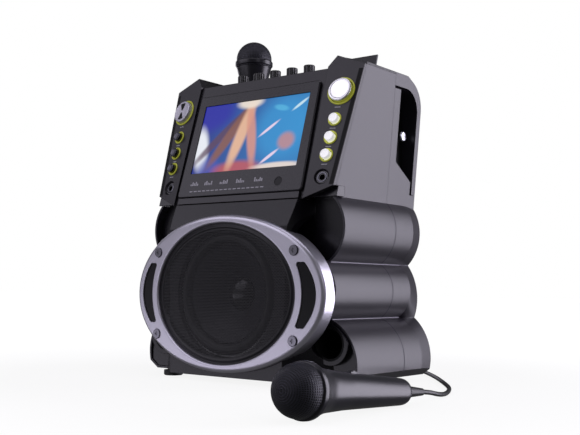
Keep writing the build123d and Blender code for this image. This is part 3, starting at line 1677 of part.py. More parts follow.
with BuildPart() as drive_chassis:
    add(
        block(
            (-chassis_half, chassis_half),
            (chassis_front_y, tray_back_y),
            (chassis_low_z, chassis_floor_z),
        )
    )
    for side in (-1, 1):
        near, far = sorted((side * (tray_half_width + 1), side * chassis_half))
        add(block((near, far), (chassis_front_y, tray_back_y), (chassis_floor_z, tray_top_z + 5)))
        # ledge under the tray's edge and lip over it
        near, far = sorted((side * (tray_half_width - 3), side * (tray_half_width + 2)))
        add(block((near, far), (chassis_front_y, tray_back_y), (tray_bottom_z - 2, tray_bottom_z - 0.1)))
        near, far = sorted((side * (tray_half_width - 1.5), side * (tray_half_width + 2)))
        add(block((near, far), (chassis_front_y, tray_back_y), (tray_top_z + 0.2, tray_top_z + 2)))
    # bearings for the sled's rods
    for x in (-rod_x, rod_x):
        for end_y in (rod_front_y, rod_back_y):
            add(
                block(
                    (x - 3.5, x + 3.5),
                    (end_y - (0 if end_y == rod_front_y else 2), end_y + (2 if end_y == rod_front_y else 0)),
                    (chassis_floor_z, rod_z + 3),
                )
            )
        start = facing_front(rod_back_y + 1).shift_origin(Vector(x, rod_back_y + 1, rod_z))
        add(rod(start, rod_radius, rod_back_y - rod_front_y + 2), mode=Mode.SUBTRACT)
    with BuildSketch(Plane.XY.offset(chassis_low_z)):
        with Locations((gear_x, gear_y)):
            Circle(rod_radius + run_gap)
    extrude(amount=chassis_floor + 1, mode=Mode.SUBTRACT)
    # bridge that carries the disc clamp
    add(
        block(
            (-chassis_half, chassis_half),
            (spindle_y - 10, spindle_y + 10),
            (tray_top_z + 5, tray_top_z + 7),
        )
    )
finish(drive_chassis.part, "drive_chassis")


# ---------------------------------------------------------------- microphones
mic_dome_rise = mic_length - mic_band_t - 5
mic_sphere = (mic_dome_radius**2 + mic_dome_rise**2) / (2 * mic_dome_rise)
mic_half_angle = acos((mic_sphere - mic_dome_rise) / mic_sphere)


def mic_pieces(tail, axis, up):
    """Body, head grille and switch of one microphone, from the middle of its tail."""
    profile_plane = Plane(origin=tail, x_dir=up, z_dir=up.cross(axis))
    spin = Axis(tail, axis)
    with BuildPart() as body:
        with BuildSketch(profile_plane):
            with BuildLine():
                Polyline(
                    (0, 0), (mic_tail_radius - 1.5, 0), (mic_tail_radius, 2),
                    (mic_neck_radius - 1.5, mic_neck_t - 22), (mic_neck_radius, mic_neck_t),
                    (mic_dome_radius, mic_band_t - 5), (0, mic_band_t - 5), close=True,
                )
            make_face()
        revolve(axis=spin)
        # flat seat for the switch
        seat_plane = Plane(origin=tail + axis * 84, x_dir=axis, z_dir=up)
        with BuildSketch(seat_plane.offset(13.6)):
            Rectangle(22, 8)
        extrude(amount=10, mode=Mode.SUBTRACT)
    with BuildPart() as grille:
        with BuildSketch(profile_plane):
            with BuildLine():
                Polyline(
                    (0, mic_band_t - 5), (mic_dome_radius, mic_band_t - 5),
                    (mic_band_radius, mic_band_t - 3), (mic_band_radius, mic_band_t + 3),
                    (mic_dome_radius, mic_band_t + 5),
                )
                Line((0, mic_length), (0, mic_band_t - 5))
                ThreePointArc(
                    (mic_dome_radius, mic_band_t + 5),
                    (
                        mic_sphere * sin(mic_half_angle / 2),
                        mic_length - mic_sphere * (1 - cos(mic_half_angle / 2)),
                    ),
                    (0, mic_length),
                )
            make_face()
        revolve(axis=spin)
    with BuildPart() as slider:
        with BuildSketch(seat_plane.offset(13.6)):
            with Locations((-3, 0)):
                Rectangle(9, 6)
        extrude(amount=2.6)
        with BuildSketch(seat_plane.offset(16.2)):
            with Locations((-3, 0)):
                Rectangle(3, 6)
        extrude(amount=0.8)
    return body.part, grille.part, slider.part


holder_tail_z = deck_z - cup_depth + 2
holder_mic = mic_pieces(Vector(holder_x, holder_y, holder_tail_z), Vector(0, 0, 1), Vector(0, -1, 0))
finish(holder_mic[0], "holder_mic_body")
finish(holder_mic[1], "holder_mic_grille")
finish(holder_mic[2], "holder_mic_switch")

# the loose microphone lies on its tail and its band
lie = atan((mic_band_radius - mic_tail_radius) / (mic_band_t - 5))
heading = radians(loose_heading)
loose_axis = Vector(-sin(heading) * cos(lie), -cos(heading) * cos(lie), sin(lie))
loose_up = (Vector(0, 0, 1) - loose_axis * loose_axis.Z).normalized()
loose_tail = Vector(loose_tail_x, loose_tail_y, mic_tail_radius * cos(lie) - 2 * sin(lie))
loose_mic = mic_pieces(loose_tail, loose_axis, loose_up)
finish(loose_mic[0], "loose_mic_body")
finish(loose_mic[1], "loose_mic_grille")
finish(loose_mic[2], "loose_mic_switch")

with BuildPart() as cord_relief:
    relief_plane = Plane(origin=loose_tail, x_dir=loose_up, z_dir=loose_axis * -1)
    with BuildSketch(relief_plane):
        Circle(6.0)
    with BuildSketch(relief_plane.offset(relief_length)):
        Circle(3.4)
    loft()
    add(rod(relief_plane.offset(relief_length - 6), cord_diameter / 2, 7), mode=Mode.SUBTRACT)
finish(cord_relief.part, "cord_relief")

# the cord's route: out of the relief, down to the floor and round behind the cabinet
cord_start = loose_tail - loose_axis * (relief_length - 5)
cord_bend = loose_tail - loose_axis * 46
cord_route = [
    (cord_start.X, cord_start.Y, cord_start.Z),
    (cord_bend.X, cord_bend.Y, cord_bend.Z),
    (244.2, -63.0, 4.2),
    (240.0, -43.0, 2.4),
    (231.0, -18.0, 2.3),
    (215.0, 14.0, 2.3),
    (193.0, 46.0, 2.3),
    (169.0, 79.0, 2.3),
    (144.0, 112.0, 2.3),
    (118.0, 143.0, 2.3),
    (93.0, 171.0, 2.3),
    (64.0, 188.0, 2.3),
    (coil_centre[0], coil_centre[1] + coil_outer + cord_diameter / 2 + 0.1, 2.3),
]
cord_radii = []
for before, here, after in zip(cord_route, cord_route[1:], cord_route[2:]):
    run_in = Vector(*here) - Vector(*before)
    run_out = Vector(*after) - Vector(*here)
    turn = radians(run_in.get_angle(run_out))
    cord_radii.append(0.45 * min(run_in.length, run_out.length) / tan(turn / 2))
print("cord radii", [round(radius, 1) for radius in cord_radii])
with BuildPart() as mic_cord:
    with BuildLine() as cord_path:
        FilletPolyline(*cord_route, radius=cord_radii)
    with BuildSketch(Plane(origin=cord_path.line @ 0, z_dir=cord_path.line % 0)):
        Circle(cord_diameter / 2)
    sweep(path=cord_path.line)
cord_run = sum(edge.length for edge in cord_path.edges())
cord_section = pi * (cord_diameter / 2) ** 2
print("cord run", round(cord_run, 1), "volume", mic_cord.part.volume / (cord_section * cord_run))
finish(mic_cord.part, "mic_cord")

with BuildPart() as mic_cord_coil:
    with BuildSketch(Plane.XY):
        with Locations(coil_centre):
            Circle(coil_outer)
            Circle(coil_inner, mode=Mode.SUBTRACT)
    extrude(amount=coil_height)
finish(mic_cord_coil.part, "mic_cord_coil")

plug_radius = 7.0
plug_start = Vector(
    coil_centre[0] - 20, coil_centre[1] - coil_outer - plug_radius - 0.1, plug_radius
)
with BuildPart() as mic_plug:
    plug_plane = Plane(origin=plug_start, x_dir=(0, 1, 0), z_dir=(1, 0, 0))
    with BuildSketch(plug_plane):
        Circle(3.4)
    with BuildSketch(plug_plane.offset(10)):
        Circle(plug_radius)
    loft()
    add(rod(plug_plane.offset(10), plug_radius, 28))
    add(rod(plug_plane.offset(38), 3.15, 24))
    add(rod(plug_plane.offset(61), 2.4, 3))
    add(rod(plug_plane.offset(64), 3.1, 4))
finish(mic_plug.part, "mic_plug")
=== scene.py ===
"""Karaoke machine with a tilted screen console, dressed for rendering.

Lengths in this file are millimetres until a mesh is made, when they become metres.
"""

from __future__ import annotations

import json
import logging
import math
from dataclasses import dataclass
from enum import Enum
from typing import Any

import bmesh
import bpy
import numpy as np
from mathutils import Matrix, Vector

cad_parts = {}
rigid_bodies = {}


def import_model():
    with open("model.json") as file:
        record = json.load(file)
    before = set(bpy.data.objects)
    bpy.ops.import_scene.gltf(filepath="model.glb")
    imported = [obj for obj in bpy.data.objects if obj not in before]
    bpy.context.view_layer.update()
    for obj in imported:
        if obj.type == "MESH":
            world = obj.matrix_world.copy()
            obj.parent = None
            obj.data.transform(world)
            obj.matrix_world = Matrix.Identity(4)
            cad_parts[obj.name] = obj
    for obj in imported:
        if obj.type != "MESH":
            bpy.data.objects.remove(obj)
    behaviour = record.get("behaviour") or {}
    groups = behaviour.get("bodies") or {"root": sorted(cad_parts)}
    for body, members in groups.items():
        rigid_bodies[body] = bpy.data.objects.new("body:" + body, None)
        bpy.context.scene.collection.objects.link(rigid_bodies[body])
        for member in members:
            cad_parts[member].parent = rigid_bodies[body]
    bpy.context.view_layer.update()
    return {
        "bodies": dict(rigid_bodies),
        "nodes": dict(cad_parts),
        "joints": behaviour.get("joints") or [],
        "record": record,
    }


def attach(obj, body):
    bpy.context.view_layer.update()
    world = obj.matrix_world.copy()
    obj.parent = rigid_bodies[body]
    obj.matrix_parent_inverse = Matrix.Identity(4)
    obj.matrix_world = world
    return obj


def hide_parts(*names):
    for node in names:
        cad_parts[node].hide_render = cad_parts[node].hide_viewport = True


LOG = logging.getLogger("karaoke_machine")
MM = 0.001
# points closer than this are one point
WELD_MM = 0.001


# ---------------------------------------------------------------- colour and node helpers
def srgb(code: str) -> tuple[float, float, float, float]:
    """Turn an sRGB hex colour to linear.

    Args:
        code: Six hex digits, with or without a leading hash.

    Returns:
        Linear red, green and blue, and full opacity.
    """
    digits = code.lstrip("#")
    channels = [int(digits[i : i + 2], 16) / 255 for i in (0, 2, 4)]
    linear = [c / 12.92 if c <= 0.04045 else ((c + 0.055) / 1.055) ** 2.4 for c in channels]
    return (linear[0], linear[1], linear[2], 1.0)


def per_metre(millimetres: float) -> float:
    """The texture scale whose features are that many millimetres across."""
    return 1.0 / (millimetres * MM)


def add_node(
    tree: bpy.types.NodeTree,
    kind: str,
    inputs: dict[str | int, Any] | None = None,
    **settings: Any,
) -> bpy.types.Node:
    """Add one node with its settings and its inputs.

    Args:
        tree: The tree that gets the node.
        kind: The node's Blender type name, without its ShaderNode.
        inputs: Input name or index to a value, or to the socket that feeds it.
        settings: Attributes to set, by name.

    Returns:
        The new node.
    """
    node = tree.nodes.new(f"ShaderNode{kind}")
    for name, value in settings.items():
        setattr(node, name, value)
    for key, value in (inputs or {}).items():
        if isinstance(value, bpy.types.NodeSocket):
            tree.links.new(value, node.inputs[key])
        else:
            node.inputs[key].default_value = value
    return node


# ---------------------------------------------------------------- finishes
@dataclass(frozen=True)
class Finish:
    """What every finish shares: a name and a way to make its material."""

    name: str

    def surface(self, tree: bpy.types.NodeTree) -> dict[str, Any]:
        """Build what feeds the Principled shader.

        Args:
            tree: The material's node tree.

        Returns:
            The shader's inputs by name.
        """
        raise NotImplementedError

    def material(self) -> bpy.types.Material:
        """Make the finish's material once, and share it after that.

        Returns:
            The material.
        """
        found = bpy.data.materials.get(self.name)
        if found is not None:
            return found
        material = bpy.data.materials.new(self.name)
        material.use_nodes = True
        tree = material.node_tree
        tree.nodes.clear()
        shader = add_node(tree, "BsdfPrincipled", self.surface(tree))
        add_node(tree, "OutputMaterial", {"Surface": shader.outputs[0]})
        return material


@dataclass(frozen=True)
class Moulded(Finish):
    """Moulded or painted plastic: a colour that drifts a little, a fine grain, soft edges."""

    tint: str
    deep: str
    roughness: float = 0.4
    roughness_spread: float = 0.06
    grain_mm: float = 0.7
    grain_height: float = 0.03
    drift_mm: float = 70.0
    edge_mm: float = 0.7
    metallic: float = 0.0
    specular: float = 0.5
    coat: float = 0.0
    ior: float = 1.5

    def surface(self, tree: bpy.types.NodeTree) -> dict[str, Any]:
        """Noise at two scales drives colour, roughness and bump over a bevelled normal.

        Args:
            tree: The material's node tree.

        Returns:
            The shader's inputs by name.
        """
        place = add_node(tree, "TexCoord").outputs["Object"]
        drift = add_node(tree, "TexNoise", {
            "Vector": place, "Scale": per_metre(self.drift_mm), "Detail": 3.0,
        })
        grain = add_node(tree, "TexNoise", {
            "Vector": place, "Scale": per_metre(self.grain_mm), "Detail": 2.0,
        })
        colour = add_node(tree, "Mix", {
            0: drift.outputs[0], 6: srgb(self.deep), 7: srgb(self.tint),
        }, data_type="RGBA")
        roughness = add_node(tree, "MapRange", {
            "Value": grain.outputs[0], "To Min": max(0.02, self.roughness - self.roughness_spread),
            "To Max": self.roughness + self.roughness_spread,
        })
        edge = add_node(tree, "Bevel", {"Radius": self.edge_mm * MM}, samples=4)
        bump = add_node(tree, "Bump", {
            "Strength": 0.5,
            "Distance": self.grain_height * MM,
            "Height": grain.outputs[0],
            "Normal": edge.outputs[0],
        })
        return {
            "Base Color": colour.outputs[2],
            "Roughness": roughness.outputs[0],
            "Metallic": self.metallic,
            "Specular IOR Level": self.specular,
            "IOR": self.ior,
            "Coat Weight": self.coat,
            "Coat Roughness": 0.08,
            "Normal": bump.outputs[0],
        }


@dataclass(frozen=True)
class SpunMetal(Finish):
    """Metal turned on a lathe: fine rings, and a highlight that fans out from the middle."""

    tint: str
    roughness: float = 0.3
    anisotropy: float = 0.75
    # turning marks from the middle to the rim, coarser than real ones so that they show
    rings: float = 60.0

    def surface(self, tree: bpy.types.NodeTree) -> dict[str, Any]:
        """Rings follow the map's V, which runs outwards; U runs round and gives the tangent.

        Args:
            tree: The material's node tree.

        Returns:
            The shader's inputs by name.
        """
        uv = add_node(tree, "UVMap", uv_map="turned").outputs[0]
        split = add_node(tree, "SeparateXYZ", {0: uv})
        rings = add_node(tree, "TexNoise", {
            "W": split.outputs[1], "Scale": self.rings, "Detail": 2.0,
        }, noise_dimensions="1D")
        tangent = add_node(tree, "Tangent", direction_type="UV_MAP", uv_map="turned")
        bump = add_node(tree, "Bump", {
            "Strength": 0.3, "Distance": 0.00002, "Height": rings.outputs[0],
        })
        return {
            "Base Color": srgb(self.tint),
            "Metallic": 1.0,
            "Roughness": self.roughness,
            "Anisotropic": self.anisotropy,
            "Tangent": tangent.outputs[0],
            "Normal": bump.outputs[0],
        }


@dataclass(frozen=True)
class Plated(Finish):
    """Chromed or plated metal with faint polishing marks."""

    tint: str
    roughness: float
    marks_mm: float = 0.8
    edge_mm: float = 0.4

    def surface(self, tree: bpy.types.NodeTree) -> dict[str, Any]:
        """Fine noise spreads the roughness; the edges are softened.

        Args:
            tree: The material's node tree.

        Returns:
            The shader's inputs by name.
        """
        place = add_node(tree, "TexCoord").outputs["Object"]
        marks = add_node(tree, "TexNoise", {"Vector": place, "Scale": per_metre(self.marks_mm)})
        roughness = add_node(tree, "MapRange", {
            "Value": marks.outputs[0], "To Min": self.roughness * 0.7,
            "To Max": self.roughness * 1.4,
        })
        edge = add_node(tree, "Bevel", {"Radius": self.edge_mm * MM}, samples=4)
        return {
            "Base Color": srgb(self.tint),
            "Metallic": 1.0,
            "Roughness": roughness.outputs[0],
            "Normal": edge.outputs[0],
        }


@dataclass(frozen=True)
class Lit(Finish):
    """Clear moulding with a lamp behind it, brighter where the lamp sits; on the right-hand keys
    the same glow is a painted highlight.
    """

    tint: str
    glow: str
    strength: float
    drift_mm: float = 9.0

    def surface(self, tree: bpy.types.NodeTree) -> dict[str, Any]:
        """A glossy body that gives off its own colour, with a slow drift in it.

        Args:
            tree: The material's node tree.

        Returns:
            The shader's inputs by name.
        """
        place = add_node(tree, "TexCoord").outputs["Object"]
        drift = add_node(tree, "TexNoise", {"Vector": place, "Scale": per_metre(self.drift_mm)})
        glow = add_node(tree, "Mix", {
            0: drift.outputs[0], 6: srgb(self.tint), 7: srgb(self.glow),
        }, data_type="RGBA")
        return {
            "Base Color": glow.outputs[2],
            "Roughness": 0.28,
            "Emission Color": glow.outputs[2],
            "Emission Strength": self.strength,
        }


@dataclass(frozen=True)
class Perforated(Finish):
    """Black sheet steel with staggered round holes, left whole outside an ellipse."""

    tint: str
    pitch_mm: float
    hole_mm: float
    centre_z: float
    half_width: float
    half_height: float

    def surface(self, tree: bpy.types.NodeTree) -> dict[str, Any]:
        """Two square lattices, half a pitch apart, each with a hole at every point.

        Args:
            tree: The material's node tree.

        Returns:
            The shader's inputs by name.
        """
        place = add_node(tree, "TexCoord").outputs["Object"]
        split = add_node(tree, "SeparateXYZ", {0: place})
        pitch_x = self.pitch_mm * MM
        pitch_z = self.pitch_mm * math.sqrt(3) * MM

        def ripple(socket: bpy.types.NodeSocket, pitch: float, shift: float) -> Any:
            """Find how far a point is from the nearest lattice line.

            Args:
                socket: The coordinate across the lines.
                pitch: Their spacing in metres.
                shift: How far the lattice is moved, in pitches.

            Returns:
                The distance in metres.
            """
            moved = add_node(tree, "Math", {0: socket, 1: shift * pitch}, operation="ADD")
            return add_node(tree, "Math", {
                0: moved.outputs[0], 1: pitch / 2,
            }, operation="PINGPONG").outputs[0]

        nearest = None
        for shift in (0.0, 0.5):
            offset = add_node(tree, "CombineXYZ", {
                0: ripple(split.outputs[0], pitch_x, shift),
                1: ripple(split.outputs[2], pitch_z, shift),
            })
            length = add_node(tree, "VectorMath", {
                0: offset.outputs[0],
            }, operation="LENGTH").outputs["Value"]
            nearest = (
                length
                if nearest is None
                else add_node(tree, "Math", {
                    0: nearest, 1: length,
                }, operation="MINIMUM").outputs[0]
            )
        metal = add_node(tree, "Math", {
            0: nearest, 1: self.hole_mm / 2 * MM,
        }, operation="GREATER_THAN").outputs[0]
        # elliptical radius, above one on the plain rim
        centred = add_node(tree, "Mapping", {
            "Vector": place, "Location": (0.0, 0.0, -self.centre_z / self.half_height),
            "Scale": (1 / (self.half_width * MM), 0.0, 1 / (self.half_height * MM)),
        })
        radius = add_node(tree, "VectorMath", {
            0: centred.outputs[0],
        }, operation="LENGTH").outputs["Value"]
        rim = add_node(tree, "Math", {0: radius, 1: 1.0}, operation="GREATER_THAN").outputs[0]
        opaque = add_node(tree, "Math", {0: metal, 1: rim}, operation="MAXIMUM")
        return {
            "Base Color": srgb(self.tint),
            "Roughness": 0.42,
            "Specular IOR Level": 0.4,
            "Alpha": opaque.outputs[0],
        }


@dataclass(frozen=True)
class WovenWire(Finish):
    """Painted wire cloth, its wires over and under in the piece's own map."""

    tint: str
    gap: str

    def surface(self, tree: bpy.types.NodeTree) -> dict[str, Any]:
        """Two crossed waves give the wires; the gaps between them are darker.

        Args:
            tree: The material's node tree.

        Returns:
            The shader's inputs by name.
        """
        uv = add_node(tree, "UVMap", uv_map="weave").outputs[0]
        split = add_node(tree, "SeparateXYZ", {0: uv})
        waves = [
            add_node(tree, "Math", {
                0: split.outputs[axis], 1: 0.5,
            }, operation="PINGPONG").outputs[0]
            for axis in (0, 1)
        ]
        height = add_node(tree, "Math", {0: waves[0], 1: waves[1]}, operation="MAXIMUM").outputs[0]
        mask = add_node(tree, "MapRange", {"Value": height, "From Min": 0.2, "From Max": 0.42})
        colour = add_node(tree, "Mix", {
            0: mask.outputs[0], 6: srgb(self.gap), 7: srgb(self.tint),
        }, data_type="RGBA")
        bump = add_node(tree, "Bump", {"Strength": 0.9, "Distance": 0.0006, "Height": height})
        return {
            "Base Color": colour.outputs[2],
            "Metallic": 0.35,
            "Roughness": 0.42,
            "Normal": bump.outputs[0],
        }


@dataclass(frozen=True)
class StagePicture(Finish):
    """A lit display showing soft stage lights over blue."""

    strength: float

    def surface(self, tree: bpy.types.NodeTree) -> dict[str, Any]:
        """A blue ramp with round and slanted glows added to it, on the piece's own map.

        Args:
            tree: The material's node tree.

        Returns:
            The shader's inputs by name.
        """
        uv = add_node(tree, "UVMap", uv_map="picture").outputs[0]
        split = add_node(tree, "SeparateXYZ", {0: uv})
        colour = add_node(tree, "Mix", {
            0: split.outputs[0], 6: srgb("#1c2f8c"), 7: srgb("#2f86c8"),
        }, data_type="RGBA").outputs[2]
        # centre u, centre v, half width, half height, turn in degrees, colour, cover
        glows = (
            (0.05, 0.90, 0.36, 0.40, 0.0, "#2226a8", 0.9),
            (0.04, 0.36, 0.10, 0.42, -6.0, "#f4f8ff", 1.0),
            (0.16, 0.06, 0.14, 0.22, 0.0, "#4a58c0", 0.6),
            (0.80, 0.55, 0.34, 0.60, 0.0, "#35a3e4", 0.6),
            (0.44, 0.02, 0.30, 0.16, 0.0, "#c9564a", 0.8),
            (0.22, 0.52, 0.06, 0.62, 30.0, "#5c4058", 0.85),
            (0.31, 0.52, 0.07, 0.62, 20.0, "#8c5c4a", 0.9),
            (0.42, 0.52, 0.075, 0.66, 8.0, "#f0bf9c", 0.95),
            (0.52, 0.50, 0.06, 0.62, -8.0, "#e29c86", 0.85),
            (0.45, 0.98, 0.16, 0.12, 0.0, "#fbeedd", 0.9),
            (0.68, 0.56, 0.022, 0.17, 38.0, "#f2dcf4", 1.0),
            (0.73, 0.16, 0.024, 0.15, 38.0, "#f2dcf4", 1.0),
            (0.93, 0.86, 0.022, 0.13, 38.0, "#d6f4ff", 0.9),
            (0.76, 0.84, 0.10, 0.05, 30.0, "#5fc8f0", 0.6),
            (0.82, 0.02, 0.30, 0.07, 0.0, "#f6e6da", 0.9),
            (0.86, 0.36, 0.10, 0.16, 0.0, "#d88e78", 0.7),
        )
        for u, v, half_u, half_v, turn, tint, cover in glows:
            angle = math.radians(turn)
            # the mapping turns about the map's corner, so the centre is turned too
            turned_u = math.cos(angle) * u - math.sin(angle) * v
            turned_v = math.sin(angle) * u + math.cos(angle) * v
            spun = add_node(tree, "Mapping", {
                "Vector": uv, "Rotation": (0.0, 0.0, angle),
                "Location": (-turned_u, -turned_v, 0.0),
            })
            local = add_node(tree, "Mapping", {
                "Vector": spun.outputs[0], "Scale": (1 / half_u, 1 / half_v, 1.0),
            })
            distance = add_node(tree, "VectorMath", {
                0: local.outputs[0],
            }, operation="LENGTH").outputs["Value"]
            falloff = add_node(tree, "MapRange", {
                "Value": distance, "From Min": 1.0, "From Max": 0.45, "To Max": cover,
            }, interpolation_type="SMOOTHSTEP")
            colour = add_node(tree, "Mix", {
                0: falloff.outputs[0], 6: colour, 7: srgb(tint),
            }, data_type="RGBA").outputs[2]
        return {
            "Base Color": (0.01, 0.01, 0.012, 1.0),
            "Roughness": 0.25,
            "Specular IOR Level": 0.2,
            "Emission Color": colour,
            "Emission Strength": self.strength,
        }


@dataclass(frozen=True)
class GlowingPaper(Finish):
    """A pale sheet that glows by itself and keeps only a faint shadow."""

    tint: str
    near: float
    far: float
    near_glow: float

    def surface(self, tree: bpy.types.NodeTree) -> dict[str, Any]:
        """The glow grows with the distance from the middle, up to full white.

        Args:
            tree: The material's node tree.

        Returns:
            The shader's inputs by name.
        """
        place = add_node(tree, "TexCoord").outputs["Object"]
        away = add_node(tree, "VectorMath", {0: place}, operation="LENGTH").outputs["Value"]
        glow = add_node(tree, "MapRange", {
            "Value": away,
            "From Min": self.near,
            "From Max": self.far,
            "To Min": self.near_glow,
            "To Max": 1.0,
        })
        return {
            "Base Color": srgb(self.tint),
            "Roughness": 0.95,
            "Specular IOR Level": 0.0,
            "Emission Color": srgb("#ffffff"),
            "Emission Strength": glow.outputs[0],
        }


class Palette(Enum):
    """The finishes of this machine, each named for what the real one is.

    A moulded finish gives two tints that it drifts between, the roughness and its spread,
    and the size and height of its grain in millimetres.
    """

    # satin moulded ABS: reads mid grey in broad light, with a soft sheen
    SHELL = Moulded("satin_charcoal_abs", "#2c2931", "#25232a", 0.36, 0.04, 0.8, 0.02)
    # the console's front, a darker satin ABS that keeps a narrower sheen
    CONSOLE = Moulded(
        "satin_near_black_abs", "#201d24", "#1a181e", 0.34, 0.04, 0.7, 0.02, specular=0.42
    )
    # smoother ABS round the display, with a tighter reflection
    BEZEL = Moulded(
        "smooth_near_black_abs", "#1b1920", "#17151b", 0.28, 0.04, 0.6, 0.01, specular=0.4
    )
    # ABS from a polished mould: nearly black, with soft highlights on its rounded edges
    FASCIA = Moulded(
        "polished_black_abs", "#18161d", "#121116", 0.26, 0.03, 1.0, 0.01, edge_mm=1.0,
        specular=0.4,
    )
    # ABS in the shadowed gap between the two shells: a dull line
    SEAM = Moulded("shadowed_abs", "#34323a", "#2c2a32", 0.5, 0.04, 0.8, 0.01, specular=0.2)
    # pale grey bead whose colour is a painted highlight, standing for the light caught along each
    # notch
    NOTCH_HIGHLIGHT_BEAD = Moulded("painted_highlight_bead", "#7d7a88", "#74717f", 0.3, 0.04, 0.8, 0.01)
    # near-black ABS: the direction pad's dark arrows, and bands on the wings' outer edges that are
    # painted shade in the gap where the light shell meets the front
    DARK_MARK_AND_GAP_SHADE = Moulded("near_black_abs_and_painted_gap_shade", "#060607", "#040405", 0.45, 0.04, 0.8, 0.01, specular=0.15)
    # spark-eroded ABS of the top: a fine grain breaks its sheen up
    DECK = Moulded("fine_textured_black_abs", "#131217", "#0c0b0f", 0.45, 0.06, 0.9, 0.05)
    # silver paint over plastic: a metallic flake in a satin lacquer
    SILVER = Moulded(
        "satin_silver_paint", "#cbc9d4", "#c0beca", 0.3, 0.04, 0.35, 0.01,
        edge_mm=1.2, metallic=0.75, coat=0.1,
    )
    # smoked acrylic over a dark hollow: black, with a weak reflection
    SMOKED = Moulded("smoked_acrylic", "#0b0b0f", "#08080b", 0.3, 0.02, 2.0, 0.0, specular=0.2)
    # the same ABS left matt inside the ports and over the rear panel; inside the ports its
    # near-black tint is painted shade in the recess
    MATT_AND_PORT_SHADE = Moulded("matt_black_abs_and_painted_port_shade", "#0d0d0f", "#09090a", 0.6, 0.05, 1.0, 0.03, specular=0.25)
    # moulded rubber of the feet: dull, with a faint bloom
    RUBBER = Moulded("black_rubber", "#1a1a1c", "#121214", 0.62, 0.06, 1.1, 0.05)
    # pressed paper fibre: matt and slightly rough
    CONE = Moulded("pressed_fibre_cone", "#242329", "#1a1a1f", 0.5, 0.08, 1.6, 0.12)
    # rolled rubber edge: a soft line of light along the roll
    SURROUND = Moulded("rolled_rubber_surround", "#101013", "#0b0b0d", 0.36, 0.06, 1.2, 0.02)
    # ABS from a mirror-polished mould, under a thin lacquer
    GLOSS = Moulded("glossy_black_abs", "#0e0e11", "#09090b", 0.14, 0.02, 1.0, 0.0, coat=0.4)
    # nickel-plated steel with faint wiping marks
    STEEL = Plated("plated_steel", "#c9cad0", 0.22)
    # dark chrome: a sharp reflection in dark grey, on the socket collars; on the left-hand keys
    # its dark tint is painted shade, a darker copy of the right-hand keys' chrome
    DARK_CHROME_AND_KEY_SHADE = Plated("dark_chrome_and_painted_key_shade", "#5a5a60", 0.14)
    # gilded sockets, a warm yellow metal
    BRASS = Plated("gilded_brass", "#d9b469", 0.25)
    # browned screw heads, darker than the ring that they hold
    SCREW = Plated("browned_steel", "#7d7c84", 0.2)
    # black lacquered sheet steel with 1.3 mm holes 1.9 mm apart
    WIRE_GRILLE = Perforated("perforated_black_steel", "#141318", 1.9, 1.3, 96.3, 91.0, 69.0)
    # yellow-green acrylic with a lamp behind it
    LIGHT_RING = Lit("lit_yellow_green_acrylic", "#8f9426", "#c4c748", 0.3)
    # the right-hand keys: chrome caps shown pale and glowing, a painted highlight standing for the
    # light they reflect
    GLOWING_KEY_HIGHLIGHT = Lit("key_cap_painted_glow", "#eeecf2", "#ffffff", 0.5)
    # liquid crystal display behind glass: bright, even colours
    PICTURE = StagePicture("lit_display", 0.86)
    # satin silver paint of the direction pad, pale from every side
    PAD = Moulded("pale_silver_paint", "#cfcdd8", "#c2c0cc", 0.34, 0.04, 0.3, 0.005, metallic=0.3)
    # turned aluminium, whose highlight fans out from the middle
    VOLUME = SpunMetal("spun_aluminium", "#f4f4f6")
    # satin ABS of the microphones, with a blue cast
    MIC_BODY = Moulded("satin_blue_black_abs", "#1f1e27", "#18171f", 0.3, 0.05, 0.9, 0.02)
    # painted wire cloth over dark foam: points of light on a black ground
    MIC_WIRE = WovenWire("painted_wire_cloth", "#2c2c37", "#08080b")
    # smooth PVC of the lead, with one thin highlight
    CORD = Moulded("smooth_black_pvc", "#19191c", "#131315", 0.4, 0.05, 1.5, 0.01)
    # green solder mask over copper
    BOARD = Moulded("green_solder_mask", "#1f5a36", "#17482b", 0.35, 0.05, 3.0, 0.05)
    # plain ABS of the hidden drive
    DRIVE = Moulded("plain_dark_abs", "#2d2d31", "#252529", 0.5, 0.05, 1.0, 0.03)
    # sintered ferrite of the magnet: dull grey and grainy
    FERRITE = Moulded("sintered_ferrite", "#2f2f31", "#262628", 0.6, 0.08, 1.4, 0.08)
    # backdrop paper, as bright as the room from 0.9 m away from the machine
    PAPER = GlowingPaper("pale_paper", "#6a6a6a", 0.3, 0.9, 0.88)
    # pale screen-printing ink, flat and matt
    PRINT = Moulded("pale_screen_print", "#b9b7c0", "#a9a7b0", 0.5, 0.02, 1.0, 0.0)


def dress(obj: bpy.types.Object, finish: Palette) -> None:
    """Give a piece or a CAD node one finish on all its faces.

    Args:
        obj: The piece or the node.
        finish: Its finish.
    """
    material = finish.value.material()
    if not obj.data.materials:
        obj.data.materials.append(material)
    for index in range(len(obj.data.materials)):
        obj.data.materials[index] = material


def fit(piece: bpy.types.Object, finish: Palette, slot: str, body: str, *nodes: str) -> None:
    """Dress a piece and tell the frame where it belongs.

    Args:
        piece: The new piece.
        finish: Its finish.
        slot: The record's material slot for the piece. Not used.
        body: The body that it rides on.
        nodes: The CAD nodes that it stands for, if any.
    """
    dress(piece, finish)
    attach(piece, body)
    if nodes:
        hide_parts(*nodes)


